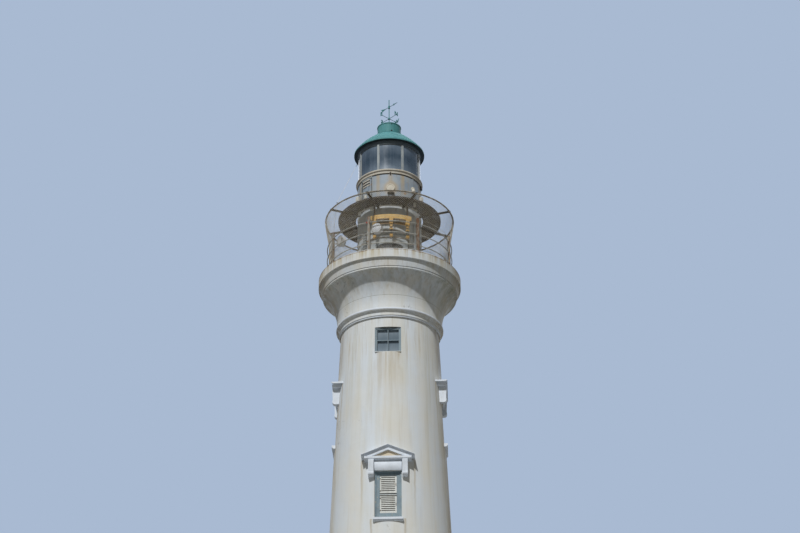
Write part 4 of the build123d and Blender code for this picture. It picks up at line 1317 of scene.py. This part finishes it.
def hatch_frame(shape):
    for side in (-1, 1):
        edge = hatch_bearing + side * (hatch_half + 1.3)
        block(shape, facing(edge, drum_radius + 0.003, hatch_middle), (0.048, hatch_tall, 0.014))
    lintel = (0.540, 0.044, 0.014)
    curved_block(shape, hatch_bearing, drum_radius + 0.003, hatch_head + 0.022, lintel, 7)
    for height in (drum_foot + 0.20, drum_foot + 0.68, hatch_head - 0.16):
        knuckle = facing(hatch_bearing - hatch_half, drum_radius + 0.014, height)
        pin(shape, knuckle, 0.055, 0.011)
        block(shape, moved(knuckle, 0.06, 0.0, -0.018), (0.12, 0.045, 0.008), 0.002)
    grip = facing(hatch_bearing + hatch_half - 4.0, drum_radius, drum_foot + 0.66)
    corners = ((-0.07, -0.014), (-0.07, 0.035), (0.07, 0.035), (0.07, -0.014))
    bar(shape, [grip @ Vector((0.0, up, out)) for up, out in corners], 0.008, 8)


def across_hatch(shape, drops, tall, depth):
    """Strips across the hatch, at distances below its head."""
    for drop in drops:
        size = (0.36, tall, depth)
        curved_block(shape, hatch_bearing - 1.0, hatch_face, hatch_head - drop, size)


def hatch_slots(shape):
    across_hatch(shape, (0.10, 0.215), 0.040, 0.008)


def hatch_gaps(shape):
    for side in (-1, 1):
        edge = hatch_bearing + side * (hatch_half - 0.4)
        block(shape, facing(edge, hatch_face, hatch_middle), (0.026, hatch_tall, 0.014), 0.002)


def hatch_slats(shape):
    across_hatch(shape, (0.050, 0.157, 0.270), 0.050, 0.016)


piece("hatch_frame", hatch_frame, "white_bars")
piece("hatch_slots", hatch_slots, "dark_gap_and_shadow")
piece("hatch_gaps", hatch_gaps, "dark_gap_and_shadow")
piece("hatch_slats", hatch_slats, "ledge_paint")

# %% Vent cover, brackets and lamps on the drum
cover_bearing = 4.4
cover_rim = ((0.155, -0.014), (0.155, 0.018), (0.147, 0.026), (0.118, 0.026))
cover_dish = ((0.108, 0.018), (0.0, 0.034))
lamp_bell = ((0.0, -0.030), (0.030, -0.028), (0.052, 0.020), (0.048, 0.060), (0.0, 0.075))
lamp_bearings_levels_scales = ((-84.0, 25.42, 1.0), (84.0, 25.42, 1.0), (47.4, 25.555, 1.35))
shelf_bearing, shelf_level = 4.9, 25.264
lug_bearing, lug_level = 3.9, 26.087
switch_bearing, switch_level = 80.0, 25.990


def vent_cover(shape):
    place = facing(cover_bearing, drum_radius, cover_level)
    turned(shape, place, cover_rim + cover_dish, 32)
    for number in range(8):
        rivet(shape, moved(spun(place, number * 45.0, "Z"), 0.133, 0.0, 0.025), 0.008)


def drum_brackets(shape):
    shelf = facing(shelf_bearing, drum_radius + 0.035, shelf_level)
    block(shape, shelf, (0.25, 0.035, 0.080), 0.004)
    for across in (-0.09, 0.09):
        block(shape, moved(shelf, across, -0.040, -0.030), (0.018, 0.070, 0.030))
    lug = facing(lug_bearing, drum_radius + 0.038, lug_level)
    block(shape, lug, (0.045, 0.084, 0.030), 0.004)
    switch = facing(switch_bearing, drum_radius + 0.032, switch_level)
    block(shape, switch, (0.110, 0.130, 0.075), 0.008)


def drum_lamps(shape):
    for bearing, height, scale in lamp_bearings_levels_scales:
        place = facing(bearing, drum_radius, height) @ Matrix.Scale(scale, 4)
        block(shape, moved(place, 0.0, 0.055, 0.030), (0.070, 0.070, 0.070), 0.006)
        turned(shape, spun(moved(place, 0.0, 0.0, 0.052), 90.0, "X"), lamp_bell, 16)


piece("vent_cover", vent_cover, "cover_cream")
piece("drum_brackets", drum_brackets, "walkway_rust")
piece("drum_lamps", drum_lamps, "cover_cream")

# %% [markdown]
# ## Under the upper walkway
# What the photo mostly shows of the walkway is its underside: plates on angles, bolt heads in rows, a
# stiff rim, and the conduit that feeds the equipment, hung from the plates on short straps.

# %% Rim, bolts and conduit
walkway_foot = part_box("upper_walkway")[0].z
walkway_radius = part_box("upper_walkway")[1].x
inner_bolt_radius = 1.235
conduit_radius, conduit_level = 1.335, 24.655
# Bearing, radius, height and size of each box.
junction_boxes = (
    (-36.2, 1.80, 24.846, (0.120, 0.190, 0.090)),
    (41.0, 1.80, 24.836, (0.120, 0.170, 0.090)),
    (-25.4, 1.80, 24.826, (0.090, 0.140, 0.070)),
    (35.0, 1.64, 24.640, (0.080, 0.150, 0.080)),
    (-25.0, 1.29, 24.630, (0.170, 0.140, 0.090)),
    (30.0, 1.29, 24.650, (0.110, 0.110, 0.080)),
    (-52.0, 1.31, 24.645, (0.110, 0.110, 0.080)),
)
conduit_runs = ((-50.0, -28.4), (-11.4, 20.6), (31.5, 48.0))


def walkway_rim(shape):
    edge = ((-0.004, 0.0), (-0.004, -0.045), (-0.012, -0.045))
    flange = ((-0.012, -0.008), (-0.055, -0.008), (-0.055, 0.0))
    band(shape, walkway_radius, walkway_foot, edge + flange)
    bolt_circles = ((inner_bolt_radius, walkway_foot), (walkway_radius - 0.035, walkway_foot - 0.008))
    for bearing in range(0, 360, 5):
        for radius, height in bolt_circles:
            under = Matrix.Translation(about_axis(bearing + 2.5, radius, height))
            hex_bolt(shape, spun(under, 180.0, "X"), 0.020, 0.010)


def conduits(shape):
    for first, last in conduit_runs:
        bar(shape, hoop(conduit_radius, conduit_level, first, last, 12), 0.023, 8)
        for bearing in (first, (first + last) / 2, last):
            foot = about_axis(bearing, conduit_radius, conduit_level)
            bar(shape, [foot, foot + Vector((0.0, 0.0, walkway_foot - conduit_level))], 0.006, 6)
            block(shape, facing(bearing, conduit_radius, conduit_level), (0.062, 0.056, 0.056), 0.005)
    for bearing, radius, height, size in junction_boxes:
        block(shape, facing(bearing, radius, height), size, 0.008)
        lid = facing(bearing, radius + size[2] / 2, height)
        block(shape, lid, (size[0] * 0.7, size[1] * 0.7, 0.010))
        hex_bolt(shape, moved(lid, 0.0, 0.0, 0.004), 0.016, 0.008)


piece("walkway_rim", walkway_rim, "walkway_rust")
piece("conduits", conduits, "conduit_white")

# %% [markdown]
# ## The room below the lantern
# Two hoops bind the room's wall. Between the railing's posts the photo shows the dark head of an
# arched doorway, closed with boards. Narrow cabinets stand to the right of it, and a slatted panel to
# its left.

# %% Hoops, boarded doorway and cabinets
hoop_levels = (23.714, 23.470)
arch_bearing, arch_half_turn = 3.0, 23.5
arch_spring, arch_head = 23.06, 23.228
board_count = 11
louvre_bearing = -47.0
# Bearing, width, foot and head of each cabinet.
cabinets = ((41.5, 0.17, 22.50, 24.28), (51.0, 0.15, 22.50, 24.28), (59.0, 0.10, 23.10, 24.10))


def arch_rise(share):
    """Height of the arch at a share of its half width, from -1 to 1."""
    return arch_spring + (arch_head - arch_spring) * math.sqrt(max(0.0, 1.0 - share * share))


def room_hoops(shape):
    section = ((-0.002, -0.022), (0.010, -0.020), (0.010, 0.020), (-0.002, 0.022))
    for level in hoop_levels:
        band(shape, drum_radius, level, section)
        for side in (-31.0, 31.0):
            lug = facing(arch_bearing + side, drum_radius + 0.022, level)
            block(shape, lug, (0.070, 0.050, 0.030), 0.004)
            hex_bolt(shape, moved(lug, 0.0, 0.0, 0.015), 0.018, 0.010)


def boarded_doorway(shape):
    for board in range(board_count):
        share = (board - (board_count - 1) / 2) / (board_count / 2)
        bearing = arch_bearing + share * arch_half_turn
        height = arch_rise(share) - gallery_top
        place = facing(bearing, drum_radius + 0.006, gallery_top + height / 2)
        block(shape, place, (0.081, height, 0.016), 0.002)


def arch_moulding(shape):
    half_turn, reach = arch_half_turn + 1.5, drum_radius + 0.014
    shares = [k / 12 for k in range(-12, 13)]
    points = [about_axis(arch_bearing + s * half_turn, reach, arch_rise(s) + 0.018) for s in shares]
    feet = [Vector((end.x, end.y, gallery_top)) for end in (points[0], points[-1])]
    bar(shape, [feet[0], *points, feet[1]], 0.020)


def wall_panels(shape):
    for bearing, width, foot, head in cabinets:
        place = facing(bearing, drum_radius + 0.028, (foot + head) / 2)
        block(shape, place, (width, head - foot, 0.066), 0.006)
        for rise in (0.32, -0.32):
            latch = moved(place, width * 0.36, rise * (head - foot), 0.036)
            block(shape, latch, (0.018, 0.060, 0.012))
    for slat in range(12):
        place = facing(louvre_bearing, drum_radius + 0.020, 22.62 + slat * 0.105)
        block(shape, spun(place, 28.0, "X"), (0.150, 0.075, 0.012))


def panel_outlines(shape):
    for bearing, width, foot, head in cabinets:
        place = facing(bearing, drum_radius + 0.004, (foot + head) / 2)
        block(shape, place, (width + 0.030, head - foot + 0.030, 0.030), 0.004)
    block(shape, facing(louvre_bearing, drum_radius + 0.002, 23.20), (0.180, 1.34, 0.020), 0.004)


piece("room_hoops", room_hoops, "ring_rust")
piece("boarded_doorway", boarded_doorway, "old_boards")
piece("arch_moulding", arch_moulding, "room_paint")
piece("wall_panels", wall_panels, "room_paint")
piece("panel_outlines", panel_outlines, "dark_gap_and_shadow")

# %% [markdown]
# ## Rack and aerials
# The rack's curved band has a second band behind it. Each unit hangs from it by a T-shaped head, with
# wider sleeves and dark joints further down and a cap at its foot. The aerials get the domed face and
# the pressed rim that make them read as drums rather than discs.

# %% Second band, heads, joints and caps
unit_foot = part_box("signal_units")[0].z
rack_bearing = 4.5
unit_bearings = (-18.0, rack_bearing, 27.0)
rack_radius, unit_size = 1.53, 0.062
unit_middle = rack_radius - unit_size / 2
# Height from the units' heads and tallness of each joint; height, width and tallness of each sleeve.
joint_forms = ((-0.210, 0.028), (-0.338, 0.040), (-0.510, 0.160))
tee_forms = ((0.060, 0.200, 0.090), (-0.080, 0.136, 0.230))
sleeve_forms = ((-0.270, 0.096, 0.090), (-0.392, 0.120, 0.062))


def rack_band(shape):
    behind = rack_radius - 0.105
    curved_block(shape, rack_bearing, behind, unit_head_level - 0.085, (1.36, 0.120, 0.012), 18)
    for bearing in (-16.0, -4.0, 13.0, 25.0):
        strap = facing(bearing, behind + 0.020, unit_head_level + 0.010)
        block(shape, strap, (0.040, 0.180, 0.030))
    for bearing in (-20.5, -7.0, 4.5, 16.0, 29.5):
        spacer = facing(bearing, rack_radius - 0.082, unit_head_level + 0.06)
        block(shape, spacer, (0.040, 0.130, 0.050))


def unit_joints(shape):
    width = unit_size + 0.014
    for bearing in unit_bearings:
        for up, tall in joint_forms:
            joint = facing(bearing, unit_middle, unit_head_level + up)
            block(shape, joint, (width, tall, width), 0.002)


def unit_caps(shape):
    width = unit_size + 0.016
    for bearing in unit_bearings:
        block(shape, facing(bearing, unit_middle, unit_foot + 0.012), (width, 0.030, width), 0.006)
        for across in (-0.045, 0.045):
            bolt = moved(facing(bearing, rack_radius, unit_head_level + 0.10), across, 0.0, 0.0)
            hex_bolt(shape, bolt, 0.020, 0.012)


def unit_heads(shape):
    """The T-shaped head that bolts each unit to the band, and the sleeves further down it."""
    radius, depth = unit_middle + 0.008, unit_size + 0.024
    for bearing in unit_bearings:
        for up, width, tall in tee_forms + sleeve_forms:
            block(shape, facing(bearing, radius, unit_head_level + up), (width, tall, depth), 0.006)
        block(shape, facing(bearing, radius, unit_foot + 0.105), (0.110, 0.100, depth), 0.006)


piece("unit_heads", unit_heads, "yellow_rack")
# The second band's brown coat is painted shade.
piece("rack_band", rack_band, "rack_brown_shade")
piece("unit_joints", unit_joints, "dark_gap_and_shadow")
piece("unit_caps", unit_caps, "ring_rust")

# %% Domed faces of the aerials
aerial_face, aerial_across = 2.075, 0.225
aerial_radius = 0.187
aerial_level = gallery_top + 1.05
aerial_places = [
    moved(facing(bearing, aerial_face, aerial_level), aerial_across, 0.0, 0.0)
    for bearing in (-16.5, -61.5)
]


def aerial_faces(shape):
    for place in aerial_places:
        turned(shape, place, ((0.170, 0.0), (0.150, 0.010), (0.080, 0.022), (0.0, 0.026)), 32)


def aerial_rims(shape):
    for place in aerial_places:
        for depth in (0.0, -0.165):
            rim = [place @ Vector((x, y, depth)) for x, y in circle(32, aerial_radius)]
            bar(shape, rim, 0.008, closed=True)
        for number in range(6):
            clip = moved(spun(place, number * 60.0, "Z"), aerial_radius + 0.005, 0.0, -0.020)
            block(shape, clip, (0.012, 0.026, 0.050))


piece("aerial_faces", aerial_faces, "pale_plastic")
piece("aerial_rims", aerial_rims, "ring_rust")

# %% Clamps of the lightning wire
wire_clips = (
    (-109.5, 1.261, roof_foot + 0.004),
    (-50.5, 2.3185, ring_level + 0.030),
    (-61.5, post_radius, gallery_top + 1.447),
)


def wire_clamps(shape):
    for bearing, radius, height in wire_clips:
        block(shape, facing(bearing, radius, height), (0.040, 0.030, 0.030), 0.005)
        hex_bolt(shape, facing(bearing, radius + 0.015, height), 0.014, 0.008)


piece("wire_clamps", wire_clamps, "ring_rust")

# %% [markdown]
# ## Ironmongery of the windows
# Every louvred leaf turns on two hinges and is held by a small bar. The square windows have a board for
# a sill, flaking in the weather, and a painted shadow at the head, where the head of the opening shades
# the sash.

# %% Hinges and latches of the leaves
leaf_foot, leaf_tall, leaf_spacing, leaf_half = 0.230, 0.6225, 0.6825, 0.275


def leaf_windows():
    """Bearing, face radius and sill of each tall window: front and back, then left and right."""
    for storey, sill in enumerate(tall_sills):
        face = shaft_radius(sill + tall_window_height) - 0.12 - 0.0225
        for bearing in ((0.0, 180.0) if storey % 2 == 0 else (90.0, 270.0)):
            yield bearing, face, sill


def leaf_ironmongery(shape):
    for bearing, face, sill in leaf_windows():
        for leaf in (0, 1):
            place = facing(bearing, face, sill + leaf_foot + leaf * leaf_spacing)
            for rise in (0.10, leaf_tall - 0.10):
                pin(shape, moved(place, -leaf_half, rise, 0.006), 0.030, 0.007)
                strap = moved(place, -leaf_half + 0.022, rise, 0.001)
                block(shape, strap, (0.036, 0.046, 0.006), 0.001)
            catch = moved(place, leaf_half - 0.025, leaf_tall / 2, 0.004)
            block(shape, catch, (0.022, 0.090, 0.010), 0.002)


def meeting_rails(shape):
    for bearing, face, sill in leaf_windows():
        for edge in (leaf_foot + leaf_tall + 0.009, leaf_foot + leaf_spacing - 0.009):
            block(shape, facing(bearing, face + 0.012, sill + edge), (leaf_half * 2, 0.022, 0.030))


# Painted shade: a dark strip across the gap between each window's two leaves, over the frame's rail
# that is in shade there.
def meeting_shadows(shape):
    for bearing, face, sill in leaf_windows():
        middle = sill + leaf_foot + (leaf_tall + leaf_spacing) / 2
        dark_strip = facing(bearing, face + 0.011, middle + 0.022)
        block(shape, dark_strip, (leaf_half * 2, 0.026, 0.036), 0.002)


piece("leaf_ironmongery", leaf_ironmongery, "ring_rust")
piece("meeting_rails", meeting_rails, "cream_leaves")
piece("meeting_shadows", meeting_shadows, "dark_gap_and_shadow")

# %% Sill boards and painted head shadows of the square windows
square_bearings = (0.0, 180.0)
square_face = 1.642


def square_boards(shape):
    for bearing in square_bearings:
        sill = facing(bearing, square_face + 0.050, square_foot + 0.018)
        block(shape, spun(sill, 8.0, "X"), (0.880, 0.026, 0.105), 0.004)


# Painted shadow: a dark strip under each square window's head, where the head shades the recessed sash.
def square_head_shadows(shape):
    for bearing in square_bearings:
        dark_strip = facing(bearing, square_face + 0.012, square_head - 0.012)
        block(shape, dark_strip, (0.870, 0.020, 0.022), 0.002)


piece("square_boards", square_boards, "lime_paint")
piece("square_head_shadows", square_head_shadows, "dark_gap_and_shadow")

# %% Beads of the string course
upper_bead_radius, lower_bead_radius = 1.826, 1.706


def string_beads(shape):
    upper = ((0.0, -0.060), (0.036, -0.058), (0.042, -0.030), (0.036, -0.004), (0.0, 0.0))
    lower = ((0.0, 0.0), (0.046, 0.002), (0.050, 0.050), (0.024, 0.054))
    band(shape, upper_bead_radius, neck_foot, upper, 128)
    band(shape, lower_bead_radius, string_foot, lower, 128)


piece("string_beads", string_beads, "dressing_paint")

# %% Knob, plate and hinges of the entrance door
door_face = 2.77
door_place = facing(0.0, door_face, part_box("entrance_door")[0].z)
knob_neck = ((0.012, 0.0), (0.010, 0.030))
knob_ball = ((0.026, 0.040), (0.028, 0.055), (0.018, 0.066), (0.0, 0.070))


def door_ironmongery(shape):
    block(shape, moved(door_place, 0.40, 1.02, 0.003), (0.050, 0.200, 0.008), 0.002)
    turned(shape, moved(door_place, 0.40, 1.05, 0.004), knob_neck + knob_ball, 18)
    for rise in (0.25, 1.05, 1.90):
        hinge = moved(door_place, -0.452, rise, 0.010)
        pin(shape, hinge, 0.055, 0.010, 10)
        block(shape, moved(hinge, 0.042, 0.0, -0.008), (0.070, 0.100, 0.006), 0.001)


piece("door_ironmongery", door_ironmongery, "ring_rust")
